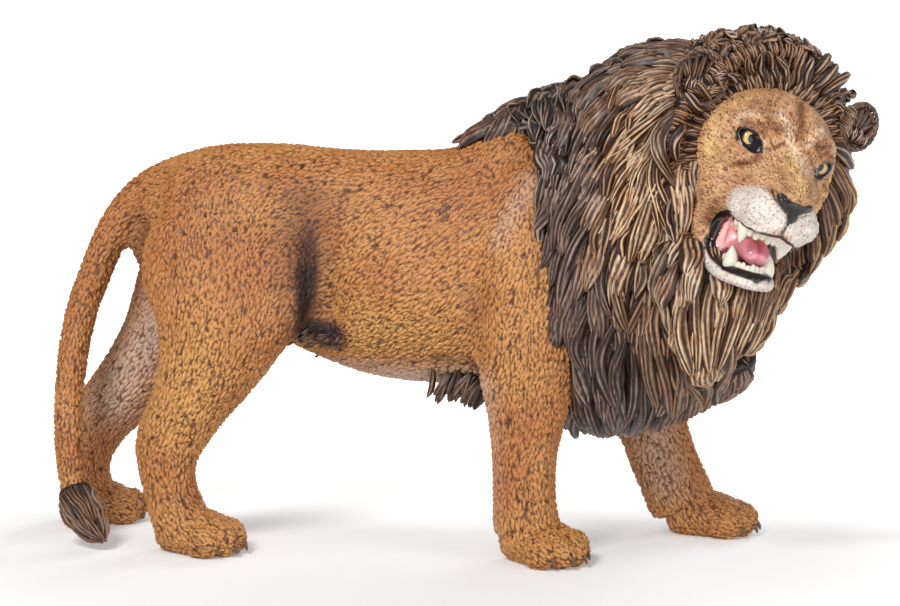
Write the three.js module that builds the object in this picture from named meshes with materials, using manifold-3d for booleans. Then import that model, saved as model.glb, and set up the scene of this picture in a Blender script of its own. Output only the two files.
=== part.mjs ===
// Roaring lion toy figure in hard plastic, walking with its head turned to its right.
// Millimetres, +X forward from the rump, +Y to the animal's left, +Z up, standing on z = 0.
// The trunk with its legs is two hollow half shells on locating pins. The tail with its tuft, the
// mane in two mouldings, the head, the jaw with its mouth cup, tongue, gums and teeth, the eyes
// and the ears each plug into their neighbours with one named clearance.
import * as THREE from "three";
import { mergeVertices } from "three/addons/utils/BufferGeometryUtils.js";
import Module from "manifold-3d";

const wasm = await Module();
wasm.setup();
const { degToRad, lerp } = THREE.MathUtils;
const { PI, cos, sin, max, min } = Math;

// Sizes of the trunk and its two half shells
const trunkLength = 80;
const trunkHeight = 40;
const trunkWidth = 29;
const backHeight = 65;
const shellWall = 3;
const pinRadius = 2;
const pinReach = 4;
const bossWall = 2;
const pouchRadius = 4.5;
const pouchSetIn = pouchRadius / 3;
const fringeLength = 5;
const fringeWidth = 3.4;
const fringeThickness = 2.2;

// Sizes of the legs and paws
const forelegHeight = 60;
const forelegDepth = 21;
const forelegWidth = 12;
const hindLegHeight = 56;
const hindLegDepth = 26;
const hindLegWidth = 12.5;
const pawLength = 14;
const pawWidth = 11.5;
const pawHeight = 8;
const toeLength = 6.4;
const toeWidth = 3.9;
const toeHeight = 5.6;

// Sizes of the tail
const tailHeight = 58;
const tailReach = 13;
const tailSwing = 12.4;
const tailThickness = 5.8;
const tuftLength = 12;
const tuftThickness = 6.4;

// Sizes and place of the head
const headLength = 34;
const headWidth = 22;
const headHeight = 31;
const eyeSpacing = 12.2;
const eyeRadius = 2.1;
const eyeSetBack = eyeRadius / 3;
const earWidth = 8.4;
const earHeight = 8.4;
const earThickness = 4.4;
const earRim = 1.2;
const earTurn = degToRad(14);
const canineLength = 3.9;
const canineRadius = 1.05;
const incisorLength = 1.3;
const incisorRadius = 0.5;
const gumRadius = 0.8;
const browAhead = 24.4;
const browSide = -20;
const browHeight = 67.3;
const headTurn = degToRad(-69);
const headTilt = degToRad(-22.5);
const headLift = degToRad(-1.3);

// Sizes of the mane
const maneSetBack = 14.5;
const maneLength = 42;
const maneHeight = 63;
const maneWidth = 41;
const crestLength = 50;
const crestHeight = 26;
const crestWidth = 30;
const lockLength = 19;
const lockWidth = 8.4;
const lockThickness = 3.4;
const ruffDepth = 22;
const ruffHeight = 42;
const ruffWidth = 37;
const ruffLockLength = 13;
const ruffLockWidth = 6.4;
const ruffLockThickness = 3;
const beardLength = 20;
const beardWidth = 22;
const beardThickness = 11;

// Clearance between mouldings, and how far a cutting solid runs past what it cuts
const clearance = 0.3;
const overrun = 4;

const LEFT = new THREE.Vector3(0, 1, 0);
const UP = new THREE.Vector3(0, 0, 1);
const STILL = new THREE.Matrix4();
const mirrored = [-1, 1];

// Solids from three.js geometry, joined and cut

function solid(geometry, matrix = STILL) {
  const bare = geometry.clone();
  bare.deleteAttribute("normal");
  bare.deleteAttribute("uv");
  const merged = mergeVertices(bare.applyMatrix4(matrix));
  return new wasm.Manifold(
    new wasm.Mesh({
      numProp: 3,
      vertProperties: merged.attributes.position.array,
      triVerts: new Uint32Array(merged.index.array),
    }),
  );
}

const joined = (solids) => solids.reduce((whole, piece) => whole.add(piece));
const cutBy = (whole, ...cutters) => cutters.reduce((left, cutter) => left.subtract(cutter), whole);

// Trimming a form can leave crumbs: only its main body is moulded.
function mainBody(shape) {
  const bodies = shape.decompose();
  return bodies.reduce((best, body) => (body.volume() > best.volume() ? body : best));
}

function geometryOf(shape) {
  const { numProp, vertProperties, triVerts } = shape.getMesh();
  const positions = new Float32Array((vertProperties.length / numProp) * 3);
  for (let i = 0; i < positions.length / 3; i++) {
    positions.set(vertProperties.subarray(i * numProp, i * numProp + 3), i * 3);
  }
  const geometry = new THREE.BufferGeometry();
  geometry.setAttribute("position", new THREE.BufferAttribute(positions, 3));
  return geometry.setIndex(new THREE.BufferAttribute(new Uint32Array(triVerts), 1));
}

function meshOf(name, shape, material) {
  const geometry = geometryOf(shape);
  geometry.computeVertexNormals();
  const mesh = new THREE.Mesh(geometry, material);
  mesh.name = name;
  return mesh;
}

const moved = (shape, matrix) => solid(geometryOf(shape), matrix);

function box(low, high) {
  const size = high.clone().sub(low);
  const centre = high.clone().add(low).multiplyScalar(1 / 2);
  const geometry = new THREE.BoxGeometry(size.x, size.y, size.z);
  return solid(geometry.translate(centre.x, centre.y, centre.z));
}

// An egg: a sphere stretched to three half sizes. Growing it gives the seat for it.
function egg(centre, halves, { grow = 0, matrix = STILL, columns = 9, rows = 6 } = {}) {
  const ball = new THREE.SphereGeometry(1, columns, rows);
  ball.scale(halves.x + grow, halves.y + grow, halves.z + grow);
  return solid(ball.translate(centre.x, centre.y, centre.z), matrix);
}

// A closed skin over a row of oval stations { at, across, halfWidth, halfHeight }, where `across`
// is the way the oval is wide. Growing it moves the skin out all over.
function skin(stations, sides, grow = 0) {
  const last = stations.length - 1;
  const positions = [];
  const indices = [];
  const push = (point) => positions.push(point.x, point.y, point.z);
  const ends = [];
  stations.forEach((station, i) => {
    const run = stations[min(i + 1, last)].at.clone().sub(stations[max(i - 1, 0)].at).normalize();
    const wide = station.across.clone().addScaledVector(run, -station.across.dot(run)).normalize();
    const high = run.clone().cross(wide);
    const centre = station.at.clone();
    if (i === 0) centre.addScaledVector(run, -grow);
    if (i === last) centre.addScaledVector(run, grow);
    if (i === 0 || i === last) ends.push(centre);
    for (let k = 0; k < sides; k++) {
      const angle = (2 * PI * k) / sides;
      const point = centre.clone().addScaledVector(wide, (station.halfWidth + grow) * cos(angle));
      push(point.addScaledVector(high, (station.halfHeight + grow) * sin(angle)));
    }
  });
  ends.forEach(push);
  const [startPole, endPole] = [positions.length / 3 - 2, positions.length / 3 - 1];
  for (let k = 0; k < sides; k++) {
    const next = (k + 1) % sides;
    indices.push(startPole, next, k, endPole, last * sides + k, last * sides + next);
    for (let i = 0; i < last; i++) {
      const [a, b] = [i * sides + k, i * sides + next];
      indices.push(a, b, b + sides, a, b + sides, a + sides);
    }
  }
  const geometry = new THREE.BufferGeometry();
  geometry.setAttribute("position", new THREE.Float32BufferAttribute(positions, 3));
  return solid(geometry.setIndex(indices));
}

// A form: rows of [forward, side, up, half height, half width] that a smooth run passes through.
function form(rows, across = LEFT) {
  const path = new THREE.CatmullRomCurve3(rows.map((r) => new THREE.Vector3(r[0], r[1], r[2])));
  const halves = new THREE.CatmullRomCurve3(rows.map((r) => new THREE.Vector3(r[3], r[4], 0)));
  const within = (t) => min(max(t, 0), 1);
  const stationAt = (t) => {
    const half = halves.getPoint(within(t));
    return { at: path.getPoint(within(t)), across, halfHeight: half.x, halfWidth: half.y };
  };
  const stations = (from, to, steps) =>
    Array.from({ length: steps + 1 }, (_, i) => stationAt(lerp(from, to, i / steps)));
  const whole = (steps, sides, grow = 0) => skin(stations(0, 1, steps), sides, grow);
  // The point on the surface at a share of the run and an angle that goes from `across` over the
  // top, moved out by `lift`, with the way out of the surface there.
  const surface = (t, angle, lift = 0) => {
    const { at, halfHeight, halfWidth } = stationAt(t);
    const run = path.getTangent(within(t));
    const wide = across.clone().addScaledVector(run, -across.dot(run)).normalize();
    const high = run.clone().cross(wide);
    const out = wide.clone().multiplyScalar(halfHeight * cos(angle));
    out.addScaledVector(high, halfWidth * sin(angle)).normalize();
    const place = at.addScaledVector(wide, halfWidth * cos(angle));
    place.addScaledVector(high, halfHeight * sin(angle)).addScaledVector(out, lift);
    return { place, out };
  };
  return { stations, stationAt, whole, surface };
}

// A lock of hair on a form: it runs from one [share, degrees] to another, swells and tapers, and
// its tip lifts off the surface.
const lockTaperShares = [0.5, 1, 0.9, 0.16];
function lock(host, from, to, { width, thickness, rootLiftShare, tipLiftShare }, grow = 0) {
  const steps = lockTaperShares.length - 1;
  const places = lockTaperShares.map((_, i) => {
    const s = i / steps;
    const lift = thickness * lerp(rootLiftShare, tipLiftShare, s);
    return host.surface(lerp(from[0], to[0], s), degToRad(lerp(from[1], to[1], s)), lift);
  });
  const stations = places.map(({ place, out }, i) => {
    const run = places[min(i + 1, steps)].place.clone().sub(places[max(i - 1, 0)].place);
    const halfShare = lockTaperShares[i] / 2;
    const across = run.cross(out);
    return { at: place, across, halfWidth: width * halfShare, halfHeight: thickness * halfShare };
  });
  return skin(stations, 4, grow);
}

// Trunk: rows of shares [along, up, half height, half width]

const trunkShares = [
  [-0.006, 0.815, 0.05, 0.07],
  [0.0125, 0.831, 0.15, 0.207],
  [0.0625, 0.823, 0.245, 0.345],
  [0.15, 0.823, 0.305, 0.42],
  [0.25, 0.792, 0.37, 0.41],
  [0.375, 0.746, 0.425, 0.4],
  [0.5, 0.714, 0.4675, 0.448],
  [0.625, 0.708, 0.48, 0.483],
  [0.75, 0.715, 0.5, 0.49],
  [0.875, 0.738, 0.49, 0.46],
  [0.975, 0.8, 0.41, 0.42],
  [1.05, 0.86, 0.3, 0.34],
];
const trunk = form(
  trunkShares.map(([along, up, high, wide]) => [
    along * trunkLength,
    0,
    up * backHeight,
    high * trunkHeight,
    wide * trunkWidth,
  ]),
);
// Muscles that swell out of the trunk and legs, and hollows pressed into them: the place in shares
// of the trunk's length, its width and the back's height, and half sizes in the same shares
const haunchShares = [
  { at: [0.15, -0.459, 0.631], half: [0.069, 0.138, 0.138], lean: -22 },
  { at: [0.075, 0.459, 0.631], half: [0.069, 0.138, 0.138], lean: 0 },
];
const upperArmShares = [
  { at: [0.762, -0.466, 0.662], half: [0.058, 0.138, 0.154], lean: 8 },
  { at: [0.806, 0.466, 0.677], half: [0.058, 0.138, 0.138], lean: -5 },
];
const flankHollowShares = [
  { at: [0.309, -0.452, 0.662], half: [0.056, 0.138, 0.138], lean: 8 },
  { at: [0.294, 0.452, 0.662], half: [0.056, 0.138, 0.138], lean: 8 },
];
const armCreaseShares = [
  { at: [0.69, -0.569, 0.638], half: [0.03, 0.103, 0.138], lean: 2 },
  { at: [0.74, 0.569, 0.638], half: [0.03, 0.103, 0.138], lean: -9 },
];
const onTrunk = ([along, side, up]) =>
  new THREE.Vector3(along * trunkLength, side * trunkWidth, up * backHeight);
function leaning({ at, half, lean }, grow = 0) {
  const matrix = new THREE.Matrix4().makeRotationY(degToRad(lean)).setPosition(onTrunk(at));
  return egg(new THREE.Vector3(), onTrunk(half), { grow, matrix, columns: 10, rows: 8 });
}
const muscles = (grow = 0) =>
  joined([...haunchShares, ...upperArmShares].map((shares) => leaning(shares, grow)));
const bodyHollows = [...flankHollowShares, ...armCreaseShares].map((shares) => leaning(shares));
const trunkSolid = (grow = 0) => trunk.whole(16, 22, grow);

// Legs: forward, up in shares of the leg's height, side in shares of the trunk's width, half
// depth and half width in shares of the leg's own

const hindRightShares = [
  [0.233, -0.26, 1, 0.36, 0.36],
  [0.241, -0.293, 0.893, 0.5, 0.48],
  [0.259, -0.328, 0.768, 0.492, 0.5],
  [0.25, -0.362, 0.66, 0.423, 0.48],
  [0.208, -0.379, 0.536, 0.302, 0.42],
  [0.146, -0.39, 0.42, 0.234, 0.37],
  [0.093, -0.39, 0.32, 0.212, 0.32],
  [0.086, -0.386, 0.223, 0.171, 0.3],
  [0.102, -0.386, 0.152, 0.165, 0.31],
  [0.129, -0.39, 0.08, 0.19, 0.36],
];
const hindLeftShares = [
  [0.193, 0.26, 1, 0.36, 0.36],
  [0.173, 0.293, 0.893, 0.48, 0.48],
  [0.133, 0.328, 0.768, 0.45, 0.5],
  [0.073, 0.352, 0.66, 0.38, 0.48],
  [-0.007, 0.352, 0.536, 0.3, 0.42],
  [-0.107, 0.345, 0.42, 0.24, 0.37],
  [-0.187, 0.335, 0.33, 0.205, 0.32],
  [-0.237, 0.33, 0.23, 0.165, 0.3],
  [-0.252, 0.33, 0.152, 0.155, 0.31],
  [-0.237, 0.33, 0.08, 0.18, 0.36],
];
const foreRightShares = [
  [1.093, -0.26, 1.03, 0.34, 0.3],
  [1.08, -0.345, 0.867, 0.49, 0.45],
  [1.07, -0.372, 0.7, 0.48, 0.47],
  [1.066, -0.386, 0.55, 0.405, 0.46],
  [1.065, -0.396, 0.417, 0.314, 0.43],
  [1.058, -0.4, 0.3, 0.248, 0.4],
  [1.056, -0.4, 0.2, 0.233, 0.385],
  [1.06, -0.4, 0.13, 0.245, 0.4],
  [1.068, -0.4, 0.07, 0.26, 0.42],
];
const foreLeftShares = [
  [1.103, 0.26, 1.03, 0.34, 0.3],
  [1.133, 0.345, 0.867, 0.48, 0.45],
  [1.183, 0.372, 0.7, 0.45, 0.47],
  [1.253, 0.4, 0.55, 0.38, 0.46],
  [1.32, 0.414, 0.417, 0.305, 0.43],
  [1.373, 0.421, 0.31, 0.27, 0.4],
  [1.408, 0.428, 0.21, 0.262, 0.39],
  [1.438, 0.435, 0.14, 0.262, 0.41],
  [1.468, 0.438, 0.07, 0.27, 0.43],
];
function limbForm(shares, height, depth, width) {
  return form(
    shares.map(([along, side, up, deep, wide]) => [
      along * height,
      side * trunkWidth,
      up * height,
      deep * depth,
      wide * width,
    ]),
  );
}
const foreleg = (shares) => limbForm(shares, forelegHeight, forelegDepth, forelegWidth);
const hindLeg = (shares) => limbForm(shares, hindLegHeight, hindLegDepth, hindLegWidth);

// A paw stands at shares of the trunk's length and width, and points to `turn`.
const legs = {
  hindRight: {
    limb: hindLeg(hindRightShares),
    pawAlongShare: 0.118,
    pawSideShare: -0.4,
    turn: degToRad(-22),
  },
  hindLeft: {
    limb: hindLeg(hindLeftShares),
    pawAlongShare: -0.15,
    pawSideShare: 0.335,
    turn: degToRad(24),
  },
  foreRight: {
    limb: foreleg(foreRightShares),
    pawAlongShare: 0.825,
    pawSideShare: -0.435,
    turn: degToRad(-38),
  },
  foreLeft: {
    limb: foreleg(foreLeftShares),
    pawAlongShare: 1.145,
    pawSideShare: 0.44,
    turn: degToRad(-8),
  },
};
const limbSolid = ({ limb }, grow = 0) => limb.whole(12, 14, grow);

// The paw's pad: rows of shares [along, up, half height, half width], and its toes: [along, side]
const pawShares = [
  [-0.44, 0.38, 0.2, 0.18],
  [-0.36, 0.38, 0.42, 0.36],
  [-0.08, 0.4, 0.5, 0.46],
  [0.2, 0.36, 0.46, 0.48],
  [0.36, 0.3, 0.34, 0.4],
];
const toeRiseShare = 0.42;
const toeShares = [
  [0.27, -0.36],
  [0.4, -0.125],
  [0.4, 0.125],
  [0.27, 0.36],
];
const pad = form(
  pawShares.map(([along, up, high, wide]) => [
    along * pawLength,
    0,
    up * pawHeight,
    high * pawHeight,
    wide * pawWidth,
  ]),
);
function paw({ pawAlongShare, pawSideShare, turn }) {
  const matrix = new THREE.Matrix4().makeRotationZ(turn);
  matrix.setPosition(pawAlongShare * trunkLength, pawSideShare * trunkWidth, 0);
  const halves = new THREE.Vector3(toeLength, toeWidth, toeHeight).multiplyScalar(1 / 2);
  const toes = toeShares.map(([along, side]) => {
    const centre = new THREE.Vector3(along * pawLength, side * pawWidth, toeRiseShare * toeHeight);
    return egg(centre, halves, { matrix, columns: 7, rows: 5 });
  });
  return joined([moved(pad.whole(6, 8), matrix), ...toes]);
}

// Dark fringe of locks behind each elbow, and the pouch under the tail
const fringeShares = [0.6, 0.625, 0.65, 0.675];
const fringeTurns = [250, 262];
const fringeLock = {
  width: fringeWidth,
  thickness: fringeThickness,
  rootLiftShare: -0.2,
  tipLiftShare: 0.9,
};
function fringe(side) {
  const reach = fringeLength / trunkLength;
  return fringeShares.map((share, i) => {
    const turn = 270 + side * (fringeTurns[i % 2] - 270);
    return lock(trunk, [share - reach / 2, turn], [share + reach / 2, turn], fringeLock);
  });
}
const pouchUpShare = 0.74;
const pouch = egg(
  new THREE.Vector3(pouchSetIn, 0, backHeight * pouchUpShare),
  new THREE.Vector3(pouchRadius, pouchRadius, pouchRadius),
);

// Tail: rows of shares [back, side, up, half thickness], from its peg in the rump to the tuft
const tailShares = [
  [0.46, 0.04, 1.043, 0.41],
  [0, 0.04, 0.998, 0.5],
  [-0.42, 0, 0.902, 0.5],
  [-0.72, -0.05, 0.752, 0.475],
  [-0.89, -0.16, 0.633, 0.465],
  [-0.98, -0.34, 0.483, 0.45],
  [-0.98, -0.55, 0.322, 0.43],
  [-0.88, -0.77, 0.167, 0.4],
  [-0.8, -0.855, 0.13, 0.38],
];
const tail = form(
  tailShares.map(([back, side, up, half]) => [
    back * tailReach,
    side * tailSwing,
    up * tailHeight,
    half * tailThickness,
    half * tailThickness,
  ]),
);
const tailSolid = (grow = 0) => tail.whole(14, 8, grow);

// Tuft: rows of shares [along, side, up, half thickness] from the end of the tail
const tuftShares = [
  [-0.05, 0.1, 0.167, 0.47],
  [0.03, 0.01, -0.04, 0.5],
  [0.18, -0.12, -0.24, 0.47],
  [0.32, -0.225, -0.39, 0.34],
  [0.45, -0.31, -0.49, 0.12],
];
const tailEnd = tail.stationAt(1).at;
const tuft = form(
  tuftShares.map(([along, side, up, half]) => [
    tailEnd.x + along * tuftLength,
    tailEnd.y + side * tuftLength,
    tailEnd.z + up * tuftLength,
    half * tuftThickness,
    half * tuftThickness,
  ]),
);

// Locating pins: moulded on the right half, in bored bosses on the left half
const pinShares = [0.2, 0.5, 0.8];
function rod(share, radius, fromSide, toSide) {
  const { at } = trunk.stationAt(share);
  const cylinder = new THREE.CylinderGeometry(radius, radius, toSide - fromSide, 10);
  return solid(cylinder.translate(at.x, (fromSide + toSide) / 2, at.z));
}
const rods = (radius, fromSide, toSide) =>
  joined(pinShares.map((share) => rod(share, radius, fromSide(share), toSide(share))));
const midWall = (share) => trunk.stationAt(share).halfWidth - shellWall / 2;
const pins = rods(pinRadius, (share) => -midWall(share), () => pinReach);
const bosses = rods(pinRadius + bossWall, () => clearance / 2, midWall);
const bores = rods(pinRadius + clearance, () => -overrun, () => pinReach + clearance);

// The two half shells part at the middle plane
const beyond = 2 * trunkLength;
const below = box(
  new THREE.Vector3(-beyond, -beyond, -beyond),
  new THREE.Vector3(beyond, beyond, 0),
);
const rightSpace = box(
  new THREE.Vector3(-beyond, -beyond, -beyond),
  new THREE.Vector3(beyond, -clearance / 2, beyond),
);
const leftSpace = box(
  new THREE.Vector3(-beyond, clearance / 2, -beyond),
  new THREE.Vector3(beyond, beyond, beyond),
);
const hollowShares = [0.14, 0.9];
const hollow = skin(trunk.stations(...hollowShares, 8), 10, -shellWall);
function bodyHalf(hind, fore, side, space) {
  const limbs = [limbSolid(hind), limbSolid(fore), paw(hind), paw(fore)];
  const outside = joined([trunkSolid(), muscles(), pouch, ...fringe(side), ...limbs]);
  return cutBy(outside, below, hollow, ...bodyHollows).intersect(space);
}
const tailSeat = tailSolid(clearance);
const bodyRight = bodyHalf(legs.hindRight, legs.foreRight, 1, rightSpace).add(pins);
const bodyLeft = cutBy(bodyHalf(legs.hindLeft, legs.foreLeft, -1, leftSpace).add(bosses), bores);
const shoulderSeats = [limbSolid(legs.foreRight, clearance), limbSolid(legs.foreLeft, clearance)];
const bodySeat = joined([trunkSolid(clearance), muscles(clearance), ...shoulderSeats]);

// Head, in its own frame: +X out of the nose, +Y to its left, +Z up, zero between the eyes.
// Its forms are rows of shares [along, up, half height, half width].

const inHead = ([along, side, up]) =>
  new THREE.Vector3(along * headLength, side * headWidth, up * headHeight);
function headForm(shares) {
  return form(
    shares.map(([along, up, high, wide]) => [
      along * headLength,
      0,
      up * headHeight,
      high * headHeight,
      wide * headWidth,
    ]),
  );
}
const skull = headForm([
  [-0.588, 0, 0.145, 0.182],
  [-0.529, -0.016, 0.274, 0.364],
  [-0.382, -0.039, 0.355, 0.5],
  [-0.265, -0.042, 0.352, 0.545],
  [-0.147, -0.048, 0.332, 0.518],
  [-0.059, -0.068, 0.303, 0.423],
  [0.015, -0.11, 0.258, 0.355],
  [0.103, -0.155, 0.174, 0.236],
  [0.162, -0.174, 0.084, 0.118],
]);
const muzzle = headForm([
  [-0.059, -0.177, 0.245, 0.341],
  [0.059, -0.168, 0.206, 0.273],
  [0.176, -0.226, 0.174, 0.245],
  [0.294, -0.284, 0.135, 0.218],
  [0.362, -0.31, 0.097, 0.164],
  [0.391, -0.31, 0.052, 0.095],
]);
const mouthGap = headForm([
  [-0.176, -0.468, 0.032, 0.114],
  [-0.118, -0.484, 0.071, 0.227],
  [0, -0.5, 0.09, 0.273],
  [0.147, -0.516, 0.097, 0.295],
  [0.471, -0.542, 0.103, 0.318],
]);
const jaw = headForm([
  [-0.265, -0.481, 0.077, 0.25],
  [-0.147, -0.562, 0.103, 0.27],
  [0, -0.636, 0.075, 0.25],
  [0.118, -0.661, 0.055, 0.215],
  [0.206, -0.668, 0.045, 0.16],
  [0.25, -0.665, 0.029, 0.1],
]);
const tongue = headForm([
  [-0.162, -0.545, 0.039, 0.091],
  [-0.059, -0.529, 0.055, 0.114],
  [0.029, -0.516, 0.055, 0.118],
  [0.094, -0.51, 0.045, 0.114],
  [0.129, -0.51, 0.026, 0.086],
  [0.147, -0.513, 0.013, 0.05],
]);
// Whisker pads, cheeks, brows and nose: places and half sizes in shares of the head
const noseShares = { at: [0.379, 0, -0.245], half: [0.056, 0.132, 0.055] };
const lumpShares = mirrored.flatMap((side) => [
  { at: [0.271, side * 0.15, -0.335], half: [0.112, 0.15, 0.097] },
  { at: [-0.176, side * 0.282, -0.274], half: [0.212, 0.209, 0.245] },
  { at: [0.018, side * 0.227, 0.09], half: [0.082, 0.145, 0.061] },
]);
const headEgg = ({ at, half }, grow = 0) => egg(inHead(at), inHead(half), { grow });
function headSolid(grow = 0) {
  const lumps = [noseShares, ...lumpShares].map((shares) => headEgg(shares, grow));
  return joined([skull.whole(9, 12, grow), muzzle.whole(6, 10, grow), ...lumps]);
}
const jawSolid = (grow = 0) => jaw.whole(6, 10, grow);

// The mouth cup: an egg with an egg out of its front
const mouthCupShares = { at: [-0.044, 0, -0.51], half: [0.165, 0.282, 0.142] };
const throatShares = { at: [0.059, 0, -0.51], half: [0.206, 0.241, 0.113] };
const mouthCupWall = (grow = 0) => cutBy(headEgg(mouthCupShares, grow), headEgg(throatShares, -grow));
const mouthCup = () => mainBody(cutBy(mouthCupWall(), ...gumSeats));
const mouthCupSeat = headEgg(mouthCupShares, clearance);
const tongueSolid = (grow = 0) => cutBy(tongue.whole(4, 8, grow), mouthCupWall(clearance));

// Gums run along a bow from back left to back right, each row one moulding with its teeth.
// The bow is given for one side as shares, from the back to the middle.
function bowOf(halfShares) {
  const other = halfShares.slice(0, -1).map(([along, side, up]) => [along, -side, up]);
  return new THREE.CatmullRomCurve3([...halfShares, ...other.reverse()].map(inHead));
}
const upperBow = bowOf([
  [0.059, -0.182, -0.42],
  [0.17, -0.164, -0.425],
  [0.241, -0.091, -0.43],
  [0.259, 0, -0.43],
]);
const lowerBow = bowOf([
  [-0.015, -0.164, -0.594],
  [0.088, -0.145, -0.61],
  [0.147, -0.077, -0.619],
  [0.165, 0, -0.619],
]);
const toothTaperShares = [1, 0.85, 0.14];
const canineShares = [0.17, 0.83];
const incisorShares = [0.33, 0.4, 0.465, 0.535, 0.6, 0.67];
function tooth(bow, share, rise, length, radius, grow) {
  const root = bow.getPoint(share);
  const tip = root.clone().addScaledVector(UP, rise * (length + gumRadius));
  const stations = toothTaperShares.map((taper, i) => ({
    at: root.clone().lerp(tip, i / (toothTaperShares.length - 1)),
    across: LEFT,
    halfWidth: radius * taper,
    halfHeight: radius * taper,
  }));
  return skin(stations, 5, grow);
}
function teethSolid(bow, rise, grow = 0) {
  const gum = bow.getPoints(10).map((at) => ({
    at,
    across: UP,
    halfWidth: gumRadius,
    halfHeight: gumRadius,
  }));
  const canine = (share) => tooth(bow, share, rise, canineLength, canineRadius, grow);
  const incisor = (share) => tooth(bow, share, rise, incisorLength, incisorRadius, grow);
  return joined([skin(gum, 5, grow), ...canineShares.map(canine), ...incisorShares.map(incisor)]);
}
const upperTeeth = teethSolid(upperBow, -1);
const lowerTeeth = teethSolid(lowerBow, 1);
const gumSeats = [teethSolid(upperBow, -1, clearance), teethSolid(lowerBow, 1, clearance)];

// Eyes and ears
function eyeSolid(side, grow = 0) {
  const centre = new THREE.Vector3(-eyeSetBack, (side * eyeSpacing) / 2, 0);
  const halves = new THREE.Vector3(eyeRadius, eyeRadius, eyeRadius);
  return egg(centre, halves, { grow, columns: 10, rows: 8 });
}
const earPlaceShares = { right: [-0.25, -0.655, 0.2], left: [-0.25, 0.605, 0.29] };
function earSolid(side, grow = 0) {
  const place = inHead(side < 0 ? earPlaceShares.right : earPlaceShares.left);
  const matrix = new THREE.Matrix4().makeRotationZ(side * earTurn).setPosition(place);
  const halves = new THREE.Vector3(earThickness, earWidth, earHeight).multiplyScalar(1 / 2);
  const shell = egg(new THREE.Vector3(), halves, { grow, matrix });
  if (grow) return shell;
  const inside = new THREE.Vector3(earThickness / 2, 0, 0);
  return cutBy(shell, egg(inside, halves.clone().subScalar(earRim), { matrix }));
}

// Mane: the collar lies over the shoulders and chest, the crest runs back over the withers, and
// the ruff frames the face and hangs in a beard

const maneStart = trunkLength - maneSetBack;
const maneShares = [
  // along, side, up, half height, half width
  [0, 0, 0.746, 0.349, 0.329],
  [0.06, 0, 0.743, 0.422, 0.39],
  [0.202, -0.007, 0.757, 0.451, 0.449],
  [0.345, -0.02, 0.794, 0.454, 0.473],
  [0.44, -0.039, 0.841, 0.416, 0.463],
  [0.631, -0.098, 0.897, 0.325, 0.405],
  [0.798, -0.159, 0.933, 0.222, 0.305],
  [0.917, -0.195, 0.944, 0.143, 0.207],
  [0.988, -0.207, 0.944, 0.063, 0.098],
];
const mane = form(
  maneShares.map(([along, side, up, high, wide]) => [
    maneStart + along * maneLength,
    side * maneWidth,
    up * maneHeight,
    high * maneHeight,
    wide * maneWidth,
  ]),
);
const crestEndShare = 0.726;
const crestShares = [
  // ahead, side, up, half height, half width
  [-1, 0, 1.009, 0.027, 0.053],
  [-0.88, 0, 1.005, 0.077, 0.167],
  [-0.76, 0, 1.022, 0.138, 0.28],
  [-0.64, 0, 1.052, 0.212, 0.367],
  [-0.52, -0.017, 1.071, 0.277, 0.433],
  [-0.38, -0.05, 1.074, 0.4, 0.48],
  [-0.24, -0.1, 1.092, 0.469, 0.493],
  [-0.1, -0.167, 1.108, 0.431, 0.42],
  [0, -0.233, 1.115, 0.231, 0.233],
];
const crestEnd = maneStart + maneLength * crestEndShare;
const crest = form(
  crestShares.map(([ahead, side, up, high, wide]) => [
    crestEnd + ahead * crestLength,
    side * crestWidth,
    up * backHeight,
    high * crestHeight,
    wide * crestWidth,
  ]),
);
const ruffShares = [
  // along, side, up, half height, half width
  [-1.409, -0.068, -0.024, 0.119, 0.135],
  [-1.318, -0.068, -0.036, 0.286, 0.311],
  [-1.091, -0.054, -0.06, 0.433, 0.465],
  [-0.773, -0.043, -0.079, 0.481, 0.481],
  [-0.545, -0.016, -0.079, 0.483, 0.465],
  [-0.409, 0, -0.071, 0.429, 0.422],
  [-0.318, 0, -0.071, 0.357, 0.341],
];
const ruffCore = form(
  ruffShares.map(([along, side, up, high, wide]) => [
    along * ruffDepth,
    side * ruffWidth,
    up * ruffHeight,
    high * ruffHeight,
    wide * ruffWidth,
  ]),
);
const beardShares = [
  // along, side, down, half thickness, half width
  [-0.45, 0, 0, 0.273, 0.455],
  [-0.25, 0, 0.25, 0.5, 0.482],
  [-0.2, 0.036, 0.5, 0.473, 0.409],
  [-0.175, 0.055, 0.75, 0.345, 0.264],
  [-0.15, 0.073, 0.95, 0.173, 0.114],
  [-0.15, 0.082, 1.03, 0.064, 0.045],
];
const chinShare = 0.55;
const beard = form(
  beardShares.map(([along, side, down, thick, wide]) => [
    along * beardLength,
    side * beardWidth,
    -chinShare * headHeight - down * beardLength,
    thick * beardThickness,
    wide * beardWidth,
  ]),
);

// Collar locks hang from the crest to the chest on both sides, in rings that step like tiles.
const collarRings = 4;
const collarLocksPerSide = 6;
const collarRingShares = [0.07, 0.8];
const collarTurns = [4, 176];
const collarSweepBackShare = 0.08;
const collarLock = {
  width: lockWidth,
  thickness: lockThickness,
  rootLiftShare: 0.02,
  tipLiftShare: 0.34,
};
function collarLocks() {
  const sweep = (lockLength / (PI * maneHeight)) * 360;
  const found = [];
  for (let ring = 0; ring < collarRings; ring++) {
    const share = lerp(...collarRingShares, ring / (collarRings - 1));
    for (let k = 0; k < collarLocksPerSide; k++) {
      const step = (k + (ring % 2) / 2) / collarLocksPerSide;
      const turn = lerp(collarTurns[0], collarTurns[1] - sweep, step);
      for (const side of mirrored) {
        const from = [share, 90 - side * turn];
        const to = [share - collarSweepBackShare, 90 - side * (turn + sweep)];
        found.push(lock(mane, from, to, collarLock));
      }
    }
  }
  return found;
}

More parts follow.
